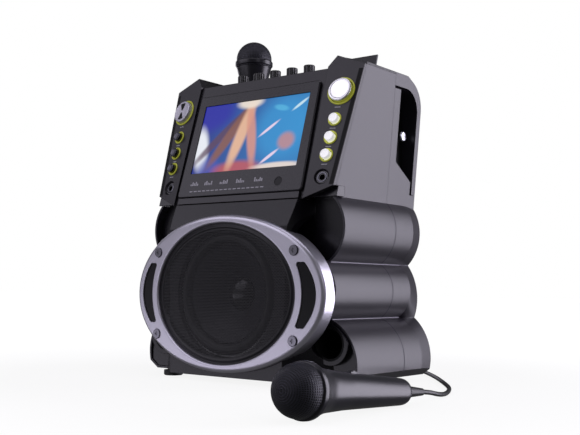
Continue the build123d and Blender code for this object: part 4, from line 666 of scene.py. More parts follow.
# ---------------------------------------------------------------- mesh helpers
def grid_piece(
    name: str,
    points: np.ndarray,
    wrap_columns: bool = False,
    flip: bool = False,
    uv: np.ndarray | None = None,
    uv_name: str = "map",
) -> bpy.types.Object:
    """Make a mesh object from a grid of points.

    Args:
        name: The piece's name.
        points: Rows by columns by three, in millimetres.
        wrap_columns: Join the last column to the first.
        flip: Turn the faces over.
        uv: Rows by columns by two, or None for no map. With a wrap, it has one
            more column than points.
        uv_name: The map's name.

    Returns:
        The object, at the origin, smooth shaded, with doubled points merged.
    """
    rows, columns = points.shape[:2]
    row_step = np.arange(rows - 1)
    column_step = np.arange(columns if wrap_columns else columns - 1)
    i, j = np.meshgrid(row_step, column_step, indexing="ij")
    i, j = i.ravel(), j.ravel()
    here, below = i * columns, (i + 1) * columns
    next_j = (j + 1) % columns
    quads = np.stack([here + j, here + next_j, below + next_j, below + j], axis=1)
    order = slice(None, None, -1) if flip else slice(None)
    mesh = bpy.data.meshes.new(name)
    mesh.from_pydata((points.reshape(-1, 3) * MM).tolist(), [], quads[:, order].tolist())
    if uv is not None:
        corners = np.stack(
            [uv[i, j], uv[i, j + 1], uv[i + 1, j + 1], uv[i + 1, j]], axis=1
        )[:, order]
        layer = mesh.uv_layers.new(name=uv_name)
        layer.data.foreach_set("uv", corners.reshape(-1))
    mesh.update()
    obj = bpy.data.objects.new(name, mesh)
    bpy.context.scene.collection.objects.link(obj)
    weld(obj)
    mesh.polygons.foreach_set("use_smooth", [True] * len(mesh.polygons))
    return obj


def weld(obj: bpy.types.Object) -> None:
    """Merge doubled points and drop the faces that collapse, as at a pole.

    Args:
        obj: The piece to mend.
    """
    work = bmesh.new()
    work.from_mesh(obj.data)
    bmesh.ops.remove_doubles(work, verts=work.verts, dist=WELD_MM * MM)
    bmesh.ops.dissolve_degenerate(work, edges=work.edges, dist=WELD_MM * MM)
    work.to_mesh(obj.data)
    work.free()


def crease(obj: bpy.types.Object, degrees: float) -> None:
    """Mark edges sharper than an angle as sharp, so that flats stay flat.

    Args:
        obj: The piece to mark.
        degrees: The angle.
    """
    work = bmesh.new()
    work.from_mesh(obj.data)
    for edge in work.edges:
        if len(edge.link_faces) == 2:
            edge.smooth = edge.calc_face_angle(0.0) < math.radians(degrees)
    work.to_mesh(obj.data)
    work.free()


def turned_piece(
    name: str,
    profile: np.ndarray,
    base: np.ndarray,
    axis: np.ndarray,
    across: np.ndarray,
    segments: int = 64,
) -> bpy.types.Object:
    """Turn a profile about an axis.

    A point at height h and radius r of the profile goes round the circle
    base + h * axis + r * (cos t * across + sin t * (axis x across)). The map "turned"
    has the turn as U and the radius over the largest as V.

    Args:
        name: The piece's name.
        profile: Points by two, height along the axis and radius, from back to front.
        base: The axis's zero point, in millimetres.
        axis: Unit vector along the axis, towards the front of the piece.
        across: Unit vector square to the axis, where the turn starts.
        segments: Faces round the piece.

    Returns:
        The object.
    """
    turn = np.linspace(0, 2 * np.pi, segments, endpoint=False)
    heights, radii = profile[:, 0], profile[:, 1]
    side = np.cross(axis, across)
    ring = np.cos(turn)[:, None] * across + np.sin(turn)[:, None] * side
    points = base + heights[:, None, None] * axis + radii[:, None, None] * ring[None]
    v = np.repeat((radii / radii.max())[:, None], segments + 1, axis=1)
    u = np.repeat(np.linspace(0, 1, segments + 1)[None, :], len(radii), axis=0)
    uv = np.stack([u, v], axis=2)
    return grid_piece(name, points, wrap_columns=True, flip=True, uv=uv, uv_name="turned")


def rounded(points: list[tuple[float, float]], radius: float, steps: int = 4) -> np.ndarray:
    """Round the inner corners of a profile with short curves.

    Args:
        points: The profile's corners.
        radius: How far the curve starts before a corner and ends after it.
        steps: Segments in each curve.

    Returns:
        The profile with each inner corner replaced by a quadratic curve.
    """
    corners = np.array(points, dtype=float)
    out = [corners[0]]
    for before, here, after in zip(corners, corners[1:], corners[2:]):
        run_in, run_out = here - before, after - here
        cut_in = min(radius, 0.45 * np.linalg.norm(run_in))
        cut_out = min(radius, 0.45 * np.linalg.norm(run_out))
        start = here - run_in / np.linalg.norm(run_in) * cut_in
        end = here + run_out / np.linalg.norm(run_out) * cut_out
        t = np.linspace(0, 1, steps + 1)[:, None]
        out.extend((1 - t) ** 2 * start + 2 * t * (1 - t) * here + t**2 * end)
    out.append(corners[-1])
    return np.array(out)


# ---------------------------------------------------------------- the console's planes
SIDES: tuple[tuple[int, str], ...] = ((-1, "left"), (1, "right"))


def unit(vector: np.ndarray) -> np.ndarray:
    """The vector at length one."""
    return vector / np.linalg.norm(vector)


@dataclass(frozen=True)
class ConsoleFrame:
    """Where things sit on the tilted front and its two swept wings."""

    # degrees that the front leans back, and the screen's middle
    tilt: float = 16.4
    screen_y: float = -59.0
    screen_z: float = 275.7
    # where a wing starts, its step back there, and how fast it falls back beyond
    wing_edge: float = 94.0
    wing_depth: float = 1.2
    wing_sweep: float = 0.138
    # the line of controls: its x at the screen's middle, and its lean outwards
    line_x: float = 113.9
    line_lean: float = 0.048

    @property
    def outward(self) -> np.ndarray:
        """Unit vector out of the screen."""
        tilt = math.radians(self.tilt)
        return np.array([0.0, -math.cos(tilt), math.sin(tilt)])

    @property
    def up(self) -> np.ndarray:
        """Unit vector up the screen."""
        tilt = math.radians(self.tilt)
        return np.array([0.0, math.sin(tilt), math.cos(tilt)])

    def point(self, x: float, s: float, depth: float = 0.0) -> np.ndarray:
        """Find a point of the front: its middle, moved across, up and back.

        Args:
            x: Millimetres across.
            s: Millimetres up the front.
            depth: Millimetres behind the screen.

        Returns:
            The point.
        """
        middle = np.array([x, self.screen_y, self.screen_z])
        return middle + s * self.up - depth * self.outward

    def wing(self, side: int, s: float) -> tuple[np.ndarray, np.ndarray, np.ndarray]:
        """A control's place on a wing.

        Args:
            side: 1 for the right, -1 for the left.
            s: How far up the front it is.

        Returns:
            The point on the wing's face, the face's outward normal and its across vector.
        """
        x = self.line_x + self.line_lean * s
        depth = self.wing_depth + self.wing_sweep * (x - self.wing_edge)
        normal = unit(self.outward + np.array([side * self.wing_sweep, 0.0, 0.0]))
        return self.point(side * x, s, depth), normal, np.cross(self.up, normal)


# ---------------------------------------------------------------- studio
@dataclass
class Studio:
    """Camera, lights, world and floor."""

    # the camera's place, its angles in degrees, and its focal length over the view's width
    place: tuple[float, float, float] = (683.59, -865.93, 104.44)
    azimuth: float = 37.669
    pitch: float = 4.198
    roll: float = 0.706
    focal_px: float = 942.68
    image_width: float = 580.0
    # how bright the room is to all but the camera, and the lights' faint violet
    room_light: float = 0.1
    tint: str = "#f3eeff"
    # name, place, target, width and height, radiance of each light panel
    panels: tuple[Any, ...] = (
        # behind on the right: the broad sheen down the lobes and the ring's skirt
        ("side_panel", (1290, 1170, 300), (120, 0, 130), (1150, 1900), 4.9),
        # in front on the left, high up: what the wings, the knobs and the ring reflect
        ("front_panel", (-1000, -1900, 1150), (0, -60, 200), (2100, 1000), 1.25),
        # above it, for the upper half of the wings and the big knob
        ("brow_panel", (-583, -1502, 1756), (0, -60, 200), (1300, 700), 1.7),
        # further left, for the near wing's twin, its controls and the slope over the ring
        ("left_panel", (-1630, -930, 1400), (0, -60, 200), (1000, 1100), 0.8),
        # low in front on the left: a faint even sheen over the black front
        ("low_panel", (-1500, -1900, 200), (0, -60, 100), (2600, 700), 0.3),
        # under the horizon, for the lower half of the ring
        ("under_panel", (-1300, -1700, -300), (0, -60, 60), (2600, 500), 1.3),
        # overhead, for the knobs, the deck and the ring's upper edge
        ("top_panel", (200, -100, 1500), (0, 0, 150), (1100, 900), 1.2),
        # behind on the left, so that the far side reads too
        ("far_panel", (-1400, 1000, 500), (-100, 0, 150), (1100, 900), 1.2),
        # straight in front on the right, for the rounded edges
        ("edge_panel", (1500, -700, 900), (100, -60, 150), (500, 900), 1.0),
    )
    floor_reach: float = 9000.0
    sensor_mm: float = 36.0

    def camera(self) -> None:
        """Set the camera from its place, its turn about Z, its pitch up and its roll."""
        azimuth, pitch, roll = (math.radians(v) for v in (self.azimuth, self.pitch, self.roll))
        forward = np.array(
            [
                -math.sin(azimuth) * math.cos(pitch),
                math.cos(azimuth) * math.cos(pitch),
                math.sin(pitch),
            ]
        )
        level = np.array([math.cos(azimuth), math.sin(azimuth), 0.0])
        upright = np.cross(level, forward)
        right = math.cos(roll) * level + math.sin(roll) * upright
        up = -math.sin(roll) * level + math.cos(roll) * upright
        matrix = np.eye(4)
        matrix[:3, 0], matrix[:3, 1], matrix[:3, 2] = right, up, -forward
        matrix[:3, 3] = np.array(self.place) * MM
        data = bpy.data.cameras.new("view")
        data.sensor_width = self.sensor_mm
        data.lens = self.sensor_mm * self.focal_px / self.image_width
        data.clip_start = 0.01
        camera = bpy.data.objects.new("view", data)
        camera.matrix_world = Matrix(matrix.tolist())
        bpy.context.scene.collection.objects.link(camera)
        bpy.context.scene.camera = camera

    def area(
        self,
        name: str,
        place: tuple[float, float, float],
        target: tuple[float, float, float],
        size: tuple[float, float],
        power: float,
    ) -> None:
        """Add one soft rectangular light.

        Args:
            name: The light's name.
            place: Where it stands, in millimetres.
            target: What it points at, in millimetres.
            size: Width and height in millimetres.
            power: Watts.
        """
        data = bpy.data.lights.new(name, "AREA")
        data.shape = "RECTANGLE"
        data.size, data.size_y = size[0] * MM, size[1] * MM
        data.energy = power
        data.color = srgb(self.tint)[:3]
        lamp = bpy.data.objects.new(name, data)
        lamp.location = Vector(place) * MM
        aim = (Vector(target) - Vector(place)).to_track_quat("-Z", "Y")
        lamp.rotation_euler = aim.to_euler()
        bpy.context.scene.collection.objects.link(lamp)

    def white_room(self) -> None:
        """A world that looks white but lights the machine only faintly."""
        world = bpy.data.worlds.new("white_room")
        world.use_nodes = True
        tree = world.node_tree
        tree.nodes.clear()
        seen = add_node(tree, "LightPath").outputs["Is Camera Ray"]
        strength = add_node(tree, "MapRange", {
            "Value": seen, "To Min": self.room_light, "To Max": 1.0,
        })
        sky = add_node(tree, "Background", {
            "Color": srgb("#ffffff"), "Strength": strength.outputs[0],
        })
        add_node(tree, "OutputWorld", {"Surface": sky.outputs[0]})
        bpy.context.scene.world = world
        bpy.context.scene.view_settings.view_transform = "Standard"

    def floor(self) -> None:
        """A wide sheet of glowing paper that nothing but the camera and shadows see."""
        ends = [-self.floor_reach, self.floor_reach]
        x, y = np.meshgrid(ends, ends)
        sheet = grid_piece("floor", np.stack([x, y, np.zeros_like(x)], axis=2))
        dress(sheet, Palette.PAPER)
        for ray in ("diffuse", "glossy", "transmission", "shadow"):
            setattr(sheet, f"visible_{ray}", False)

    def build(self) -> None:
        """Set up the camera, the world, the floor and the lights."""
        self.camera()
        self.white_room()
        self.floor()
        for name, place, target, size, radiance in self.panels:
            area = size[0] * size[1] * MM * MM
            self.area(name, place, target, size, radiance * math.pi * area)


# ---------------------------------------------------------------- speaker front
@dataclass
class SpeakerFront:
    """The grille in the ring's opening and the cone that moves behind it."""

    centre_z: float = 96.3
    # half axes of the ring's opening, and the sheet's clearance in it
    open_width: float = 98.4
    open_height: float = 76.6
    open_gap: float = 0.1
    # the ring's front and how far the sheet stands behind it
    front_y: float = -104.0
    sheet_back: float = 3.6
    # radius of the ring's bowed front, seen from above
    bow: float = 1195.0
    # the raised bead: its height, and its middle and spread as shares of the half axes
    bead_height: float = 1.1
    bead_share: float = 0.945
    bead_spread: float = 0.016
    dish_depth: float = 0.8
    cone_radius: float = 53.0
    cone_front: float = -89.0
    cone_depth: float = 24.0
    cone_flare: float = 1.6
    coil_radius: float = 16.0
    cap_radius: float = 19.0
    cap_rise: float = 8.0

    def grille(self) -> None:
        """A bowed elliptical sheet whose plain rim has a raised bead.

        A point at share r and turn t stands at x = r * half width * cos t and
        z = r * half height * sin t. Its y follows a circle bowed in x, less a bell-shaped
        bead near the rim and a shallow dish inside it.
        """
        turn = np.linspace(0, 2 * np.pi, 160, endpoint=False)
        share = np.concatenate([np.linspace(0, 0.9, 24), np.linspace(0.905, 1.0, 16)])
        x = np.outer(share, (self.open_width - self.open_gap) * np.cos(turn))
        z = np.outer(share, (self.open_height - self.open_gap) * np.sin(turn))
        bowed = self.bow - np.sqrt(self.bow**2 - x**2)
        bead = self.bead_height * np.exp(-(((share - self.bead_share) / self.bead_spread) ** 2))
        dish = self.dish_depth * (1 - np.clip(share / 0.92, 0, 1) ** 2)
        y = self.front_y + self.sheet_back + bowed - (bead + dish)[:, None]
        points = np.stack([x, y, z + self.centre_z], axis=2)
        sheet = grid_piece("grille_sheet", points, wrap_columns=True, flip=True)
        fit(sheet, Palette.WIRE_GRILLE, "grille_mesh", "case", "speaker_grille")

    def cone(self) -> None:
        """The cone and its dust cap, turned about the speaker's axis.

        The cone's depth falls evenly with its radius, plus half a sine wave of flare. The
        cap rises as (1 - (r / R) ** 2) ** 0.8.
        """
        base = np.array([0.0, 0.0, self.centre_z])
        forward, across = np.array([0.0, -1.0, 0.0]), np.array([1.0, 0.0, 0.0])
        slope = self.cone_depth / (self.cone_radius - self.coil_radius)
        radii = np.linspace(self.cone_radius, self.cap_radius, 24)
        flare = (radii - self.cap_radius) / (self.cone_radius - self.cap_radius)
        back = self.cone_front + slope * (self.cone_radius - radii)
        heights = self.cone_flare * np.sin(math.pi * flare) - back
        cone = np.stack([heights, radii], axis=1)
        sides = turned_piece("cone_sheet", cone, base, forward, across, 96)
        fit(sides, Palette.CONE, "cone_plastic", "cone", "woofer_cone")
        radii = np.linspace(self.cap_radius, 0.0, 14)
        rise = self.cap_rise * (1 - (radii / self.cap_radius) ** 2) ** 0.8
        cap = np.stack([heights[-1] + rise, radii], axis=1)
        dome = turned_piece("dust_cap", cap, base, forward, across, 72)
        fit(dome, Palette.GLOSS, "cone_plastic", "cone")

    def build(self) -> None:
        """Make the grille and the cone."""
        self.grille()
        self.cone()


# ---------------------------------------------------------------- console
@dataclass
class Console:
    """The lit screen, the controls on both wings and their light rings."""

    frame: ConsoleFrame = ConsoleFrame()
    screen: tuple[float, float] = (154.1, 86.6)
    picture_depth: float = 1.05
    # the large control: height up the front, ring radius, cap radius
    big: tuple[float, float, float] = (41.6, 16.4, 13.5)
    small_heights: tuple[float, float, float] = (8.45, -12.8, -33.0)
    small_ring: float = 8.0
    small_cap: float = 5.3
    ring_gap: float = 0.7
    cap_proud: float = 5.5
    jack_height: float = -57.3
    # the wings' outer edge: x at two heights, and the width of its dark band of painted gap shade
    edge_low: tuple[float, float] = (126.9, 209.9)
    edge_high: tuple[float, float] = (138.3, 346.7)
    edge_band: float = 4.6
    print_proud: float = 0.08
    # plain level bars: heights, group middles, bar width, bar spacing, foot
    level_heights: tuple[float, ...] = (2.2, 4.6, 3.4, 5.0, 2.8)
    level_middles: tuple[float, ...] = (-67.0, -45.5, -22.0, 2.5, 28.5)
    level_width: float = 1.7
    level_pitch: float = 2.5
    level_foot: float = -59.0
    # plain dashes under them: how many, first middle, spacing, height up the front, size
    dashes: int = 17
    dash_start: float = -70.0
    dash_pitch: float = 6.6
    dash_height: float = -66.0
    dash_size: tuple[float, float] = (4.6, 1.1)
    # ticks under the controls: distance below a ring, size
    tick_gap: float = 2.6
    tick_size: tuple[float, float] = (6.8, 1.0)

    def picture(self) -> None:
        """The lit area, a flat grid just in front of the display's glass."""
        half_x, half_s = self.screen[0] / 2, self.screen[1] / 2
        grid_x, grid_s = np.meshgrid(
            np.linspace(-half_x, half_x, 24), np.linspace(-half_s, half_s, 14)
        )
        points = (
            self.frame.point(0.0, 0.0, self.picture_depth)
            + grid_x[:, :, None] * np.array([1.0, 0.0, 0.0])
            + grid_s[:, :, None] * self.frame.up
        )
        uv = np.stack([(grid_x + half_x) / (2 * half_x), (grid_s + half_s) / (2 * half_s)], axis=2)
        sheet = grid_piece("screen_picture", points, uv=uv, uv_name="picture")
        fit(sheet, Palette.PICTURE, "screen", "case")

    def light_ring(
        self, side: int, s: float, outer: float, inner: float, name: str, *nodes: str
    ) -> None:
        """A rounded ring that stands 1.2 mm proud of the wing.

        Args:
            side: 1 for the right wing, -1 for the left.
            s: How far up the front it is.
            outer: Its outer radius.
            inner: Its inner radius.
            name: The piece's name.
            nodes: The CAD nodes that it stands for, if any.
        """
        base, normal, across = self.frame.wing(side, s)
        profile = rounded(
            [(-3.0, outer - 1.2), (0.0, outer - 1.2), (0.0, outer), (1.2, outer - 0.5),
             (1.2, inner + 0.5), (0.2, inner), (-3.0, inner)],
            0.5,
        )
        ring = turned_piece(name, profile, base, normal, across, 64)
        fit(ring, Palette.LIGHT_RING, "light_ring", "case", *nodes)

    def cap(
        self, side: int, s: float, radius: float, body: str, node: str, slot: str, finish: Palette
    ) -> None:
        """One push cap or knob with a rounded rim and a shallow dish.

        Args:
            side: 1 for the right wing, -1 for the left.
            s: How far up the front it is.
            radius: Its radius.
            body: The body that it rides on.
            node: The CAD node that it stands for.
            slot: Its material slot.
            finish: Its finish.
        """
        base, normal, across = self.frame.wing(side, s)
        top = self.cap_proud
        profile = rounded(
            [(-3.0, radius), (top - 0.6, radius), (top, radius * 0.86),
             (top - 0.4, radius * 0.78), (top - 0.6, radius * 0.4), (top - 0.6, 0.0)],
            0.6,
        )
        piece = turned_piece(f"{node}_cap", profile, base, normal, across, 72)
        fit(piece, finish, slot, body, node)

    def controls(self) -> None:
        """Rings and caps down both wings."""
        height, reach, radius = self.big
        for side, word in SIDES:
            # the first ring stands for the node of all eight
            stands_for = ("knob_light_rings",) if side < 0 else ()
            self.light_ring(
                side, height, reach, radius + self.ring_gap, f"big_ring_{word}", *stands_for
            )
            # the right keys glow pale and the left keys are dark chrome: painted lit and shaded
            # copies of one chrome cap
            finish, slot = Palette.GLOWING_KEY_HIGHLIGHT, "knob_silver"
            if side < 0:
                finish, slot = Palette.DARK_CHROME_AND_KEY_SHADE, "knob_dark"
            for index, s in enumerate(self.small_heights, start=1):
                inner = self.small_cap + self.ring_gap
                name = f"small_ring_{word}_{index}"
                self.light_ring(side, s, self.small_ring, inner, name)
                body, node = f"{word}_key_{index}", f"{word}_button_{index}"
                self.cap(side, s, self.small_cap, body, node, slot, finish)
        for side, body, node, finish in (
            (1, "volume", "volume_knob", Palette.VOLUME), (-1, "nav", "nav_button", Palette.PAD)
        ):
            self.cap(side, height, radius, body, node, "knob_silver", finish)
        self.pad_arrows()

    def pad_arrows(self) -> None:
        """Two dark wedges across the direction pad, above and below its middle."""
        base, normal, across = self.frame.wing(-1, self.big[0])
        up = np.cross(normal, across)
        proud = (self.cap_proud - 0.15) * normal
        reaches = np.array([1.6, 0.86 * 0.92 * self.big[2]])
        for index, middle in enumerate((90.0, 270.0), start=1):
            turn = np.radians([middle - 24, middle - 8, middle + 8, middle + 24])
            fan = np.cos(turn)[:, None] * across + np.sin(turn)[:, None] * up
            points = base + proud + reaches[:, None, None] * fan[None]
            wedge = grid_piece(f"pad_arrow_{index}", points, flip=True)
            fit(wedge, Palette.DARK_MARK_AND_GAP_SHADE, "knob_silver", "nav")

    def wing_edges(self) -> None:
        """Dark bands along the outer edges of both wings: painted shade in the shadow gap there.
        """
        frame = self.frame
        (low_x, low_z), (high_x, high_z) = self.edge_low, self.edge_high
        s = np.linspace(-66.0, 68.0, 20)
        z = frame.screen_z + s * frame.up[2]
        outer = low_x + (z - low_z) * (high_x - low_x) / (high_z - low_z) - 1.0
        x = np.stack([outer - self.edge_band, outer], axis=1)
        depth = frame.wing_depth + frame.wing_sweep * (x - frame.wing_edge) - 0.12
        for side, word in SIDES:
            points = (
                frame.point(0.0, 0.0)
                + side * x[:, :, None] * np.array([1.0, 0.0, 0.0])
                + s[:, None, None] * frame.up
                - depth[:, :, None] * frame.outward
            )
            band = grid_piece(f"wing_edge_{word}", points[:, ::side])
            # the band's near-black is painted shade in the gap at the wing's edge
            fit(band, Palette.DARK_MARK_AND_GAP_SHADE, "console_plastic", "case")

    def mark(
        self, name: str, middle: np.ndarray, across: np.ndarray, up: np.ndarray,
        size: tuple[float, float],
    ) -> None:
        """Print one pale bar.

        Args:
            name: The piece's name.
            middle: Its middle.
            across: Unit vector along its width.
            up: Unit vector along its height.
            size: Width and height.
        """
        half = np.array([-0.5, 0.5])
        points = (
            middle + half[None, :, None] * size[0] * across + half[:, None, None] * size[1] * up
        )
        bar = grid_piece(name, points)
        fit(bar, Palette.PRINT, "console_plastic", "case")

    def marks(self) -> None:
        """Plain level bars and dashes under the screen, and a tick under each control."""
        frame = self.frame
        flat = (np.array([1.0, 0.0, 0.0]), frame.up)
        bars = len(self.level_heights)
        for group, centre in enumerate(self.level_middles):
            for bar in range(bars):
                tall = self.level_heights[(bar + 2 * group) % bars]
                x = centre + (bar - 2) * self.level_pitch
                middle = frame.point(x, self.level_foot + tall / 2, -self.print_proud)
                name = f"level_bar_{group * bars + bar}"
                self.mark(name, middle, *flat, (self.level_width, tall))
        for step in range(self.dashes):
            x = self.dash_start + step * self.dash_pitch
            middle = frame.point(x, self.dash_height, -self.print_proud)
            self.mark(f"dash_{step}", middle, *flat, self.dash_size)
        places = (self.big[:2], *((s, self.small_ring) for s in self.small_heights))
        for side, word in SIDES:
            for index, (s, reach) in enumerate(places):
                base, normal, across = frame.wing(side, s - reach - self.tick_gap)
                up = np.cross(normal, across)
                name = f"tick_{word}_{index}"
                self.mark(name, base + 0.1 * normal, across, up, self.tick_size)

    def jack_collars(self) -> None:
        """Plated collars round the two microphone sockets."""
        profile = rounded([(-3.0, 6.2), (-1.6, 5.9), (-1.4, 4.2), (-3.2, 3.3)], 0.4)
        for side, word in SIDES:
            place = self.frame.wing(side, self.jack_height)
            collar = turned_piece(f"socket_collar_{word}", profile, *place, 48)
            fit(collar, Palette.DARK_CHROME_AND_KEY_SHADE, "socket_black", "case")

    def build(self) -> None:
        """Make the picture, the controls, the socket collars and the marks."""
        self.picture()
        self.controls()
        self.jack_collars()
        self.wing_edges()
        self.marks()


# ---------------------------------------------------------------- cabinet seams
@dataclass
class Cabinet:
    """Fine lines on the lobed cabinet: the joint of its shells, and the notches' beads, whose pale
    grey is a painted highlight.
    """

    # centre x, centre z and radius of each lobe, and where its seam starts and ends
    lobes: tuple[tuple[float, ...], ...] = (
        (94.5, 168.0, 44.0, 78.0, -58.0),
        (100.0, 100.5, 35.0, 59.5, -57.5),
        (100.6, 25.0, 49.4, 68.5, -14.0),
    )
    # x, z and front y of each notch
    notches: tuple[tuple[float, ...], ...] = ((117.8, 130.66, -64.0), (118.7, 70.94, -61.5))
    seam_y: float = 33.0
    seam_half: float = 0.8
    seam_proud: float = 0.04
    bead_radius: float = 0.65
    back_y: float = 92.0

    def seam(self) -> None:
        """A fine dark line where the front and rear shells meet, 40 points a lobe."""
        spots = []
        for x, z, radius, start, end in self.lobes:
            angle = np.radians(np.linspace(start, end, 40))
            reach = radius + self.seam_proud
            spots.append([x + reach * np.cos(angle), z + reach * np.sin(angle)])
        x, z = np.concatenate(spots, axis=1)
        for side, word in SIDES:
            rows = [
                np.stack([side * x, np.full_like(x, y), z], axis=1)
                for y in (self.seam_y - self.seam_half, self.seam_y + self.seam_half)
            ]
            strip = grid_piece(f"shell_seam_{word}", np.array(rows), flip=side < 0)
            fit(strip, Palette.SEAM, "front_shell_plastic", "case")

    def beads(self) -> None:
        """A fine rounded bead along each notch between two lobes, pale grey as a painted
        highlight.
        """
        radius = self.bead_radius
        back, across = np.array([0.0, 1.0, 0.0]), np.array([1.0, 0.0, 0.0])
        for side, word in SIDES:
            for index, (x, z, front_y) in enumerate(self.notches, start=1):
                length = self.back_y - front_y
                corners = [(0.0, 0.0), (0.0, radius), (length, radius), (length, 0.0)]
                start = np.array([side * (x + 0.5), front_y, z])
                name = f"notch_highlight_bead_{word}_{index}"
                bead = turned_piece(name, rounded(corners, 0.3), start, back, across, 16)
                # the bead's pale grey is a painted highlight along the notch
                fit(bead, Palette.NOTCH_HIGHLIGHT_BEAD, "front_shell_plastic", "case")

    def build(self) -> None:
        """Make the seam and the beads."""
        self.seam()
        self.beads()


# ---------------------------------------------------------------- microphones and lead
@dataclass
class Microphone:
    """One microphone, turned about its own axis from the middle of its tail.

    Heights are measured along the axis from the tail.
    """

    word: str
    tail: np.ndarray
    axis: np.ndarray
    up: np.ndarray
    length: float = 172.0
    tail_radius: float = 12.0
    neck_radius: float = 18.0
    band_radius: float = 23.5
    dome_radius: float = 22.0
    band: float = 144.0
    neck: float = 124.0
    # wire spacing, coarser than a real one so that it shows
    wire_mm: float = 2.1
    segments: int = 128

    def body(self) -> None:
        """Handle with a smooth flare up to the head."""
        profile = rounded(
            [(0.0, 0.0), (0.0, 9.5), (3.0, self.tail_radius), (self.neck - 30, 15.6),
             (self.neck, self.neck_radius), (self.band - 6, 21.4), (self.band - 4.4, 22.0),
             (self.band - 4.4, 0.0)],
            5.0,
            6,
        )
        body = f"{self.word}_mic"
        handle = turned_piece(f"{body}_handle", profile, self.tail, self.axis, self.up, 72)
        crease(handle, 50)
        fit(handle, Palette.MIC_BODY, "mic_black", body, f"{body}_body")

    def head(self) -> None:
        """Domed wire grille with a band round its widest.

        The profile is a straight stretch and then an arc of the sphere that passes through
        the dome's foot and its top. The map counts wires round the head as U and along the
        profile as V.
        """
        rise = self.length - self.band - 5
        sphere = (self.dome_radius**2 + rise**2) / (2 * rise)
        angle = np.linspace(math.acos((sphere - rise) / sphere), 0.0, 60)
        foot = np.linspace(self.band - 4.4, self.band + 5, 12)
        low = np.stack([foot, np.full_like(foot, self.dome_radius)], axis=1)
        dome = np.stack(
            [self.length - sphere + sphere * np.cos(angle), sphere * np.sin(angle)], axis=1
        )
        profile = np.concatenate([low, dome[1:]])
        lengths = np.linalg.norm(np.diff(profile, axis=0), axis=1)
        along = np.concatenate([[0.0], np.cumsum(lengths)]) / self.wire_mm
        around = round(2 * math.pi * self.dome_radius / self.wire_mm)
        uv = np.stack(np.meshgrid(np.linspace(0, around, self.segments + 1), along), axis=2)
        turn = np.linspace(0, 2 * np.pi, self.segments, endpoint=False)
        side = np.cross(self.axis, self.up)
        ring = np.cos(turn)[:, None] * self.up + np.sin(turn)[:, None] * side
        points = (
            self.tail
            + profile[:, 0][:, None, None] * self.axis
            + profile[:, 1][:, None, None] * ring[None]
        )
        body = f"{self.word}_mic"
        shell = grid_piece(
            f"{body}_dome", points, wrap_columns=True, flip=True, uv=uv, uv_name="weave"
        )
        fit(shell, Palette.MIC_WIRE, "mic_mesh", body, f"{body}_grille")
        belt_profile = rounded(
            [(self.band - 3.4, 21.9), (self.band - 2.6, self.band_radius),
             (self.band + 2.6, self.band_radius), (self.band + 3.4, 21.9)],
            1.0,
        )
        belt = turned_piece(f"{body}_band", belt_profile, self.tail, self.axis, self.up, 72)
        fit(belt, Palette.MIC_BODY, "mic_black", body)

    def build(self) -> None:
        """Make the handle and the head."""
        self.body()
        self.head()


@dataclass
class Lead:
    """The loose microphone's lead, with its free run and its put-away coil."""

    diameter: float = 4.5
    length: float = 3000.0
    coil_centre: tuple[float, float] = (36.0, 150.0)
    coil_rings: tuple[float, ...] = (33.6, 29.1, 24.6, 20.2)
    coil_layers: int = 4
    coil_rise: float = 4.4
    coil_low: float = 2.3
    points_a_turn: int = 12
    # the last part of a turn, in which the lead moves to the next ring or layer
    crossing: float = 0.25
    route: tuple[tuple[float, float, float], ...] = (
        (243.68, -99.1, 9.5),
        (244.12, -81.16, 8.0),
        (244.2, -63.0, 4.2),
        (240.0, -43.0, 2.4),
        (231.0, -18.0, 2.3),
        (215.0, 14.0, 2.3),
        (193.0, 46.0, 2.3),
        (169.0, 79.0, 2.3),
        (144.0, 112.0, 2.3),
        (118.0, 143.0, 2.3),
        (93.0, 171.0, 2.3),
        (64.0, 188.0, 2.3),
    )

    def coil_points(self) -> list[tuple[float, float, float]]:
        """Turns side by side, inwards and outwards by turns, in layers.

        Returns:
            The coil's control points, in millimetres.
        """
        points: list[tuple[float, float, float]] = []
        last = len(self.coil_rings) - 1
        for layer in range(self.coil_layers):
            order = self.coil_rings if layer % 2 == 0 else self.coil_rings[::-1]
            for index, radius in enumerate(order):
                following = order[min(index + 1, last)]
                climbs = index == last and layer < self.coil_layers - 1
                for k in range(self.points_a_turn):
                    share = k / self.points_a_turn
                    crossed = max(0.0, share - 1 + self.crossing) / self.crossing
                    reach = radius + (following - radius) * crossed
                    level = layer + (crossed if climbs else 0.0)
                    angle = math.pi / 2 + 2 * math.pi * share
                    points.append(
                        (
                            self.coil_centre[0] + reach * math.cos(angle),
                            self.coil_centre[1] + reach * math.sin(angle),
                            self.coil_low + level * self.coil_rise,
                        )
                    )
        return points

    def cord(self) -> bpy.types.Object:
        """Make the lead as one smooth curve with a round section.

        Returns:
            The curve's object.
        """
        points = list(self.route) + self.coil_points()
        data = bpy.data.curves.new("mic_lead", "CURVE")
        data.dimensions = "3D"
        data.bevel_depth = self.diameter / 2 * MM
        data.bevel_resolution = 4
        data.resolution_u = 6
        spline = data.splines.new("NURBS")
        spline.points.add(len(points) - 1)
        flat = np.ones((len(points), 4))
        flat[:, :3] = np.array(points) * MM
        spline.points.foreach_set("co", flat.reshape(-1))
        spline.order_u = 3
        spline.use_endpoint_u = True
        lead = bpy.data.objects.new("mic_lead", data)
        bpy.context.scene.collection.objects.link(lead)
        fit(lead, Palette.CORD, "cord_black", "loose_mic", "mic_cord", "mic_cord_coil")
        return lead

    def build(self, nodes: dict[str, bpy.types.Object]) -> None:
        """Args:
            nodes: The CAD nodes by name. Not used.
        """
        lead = self.cord()


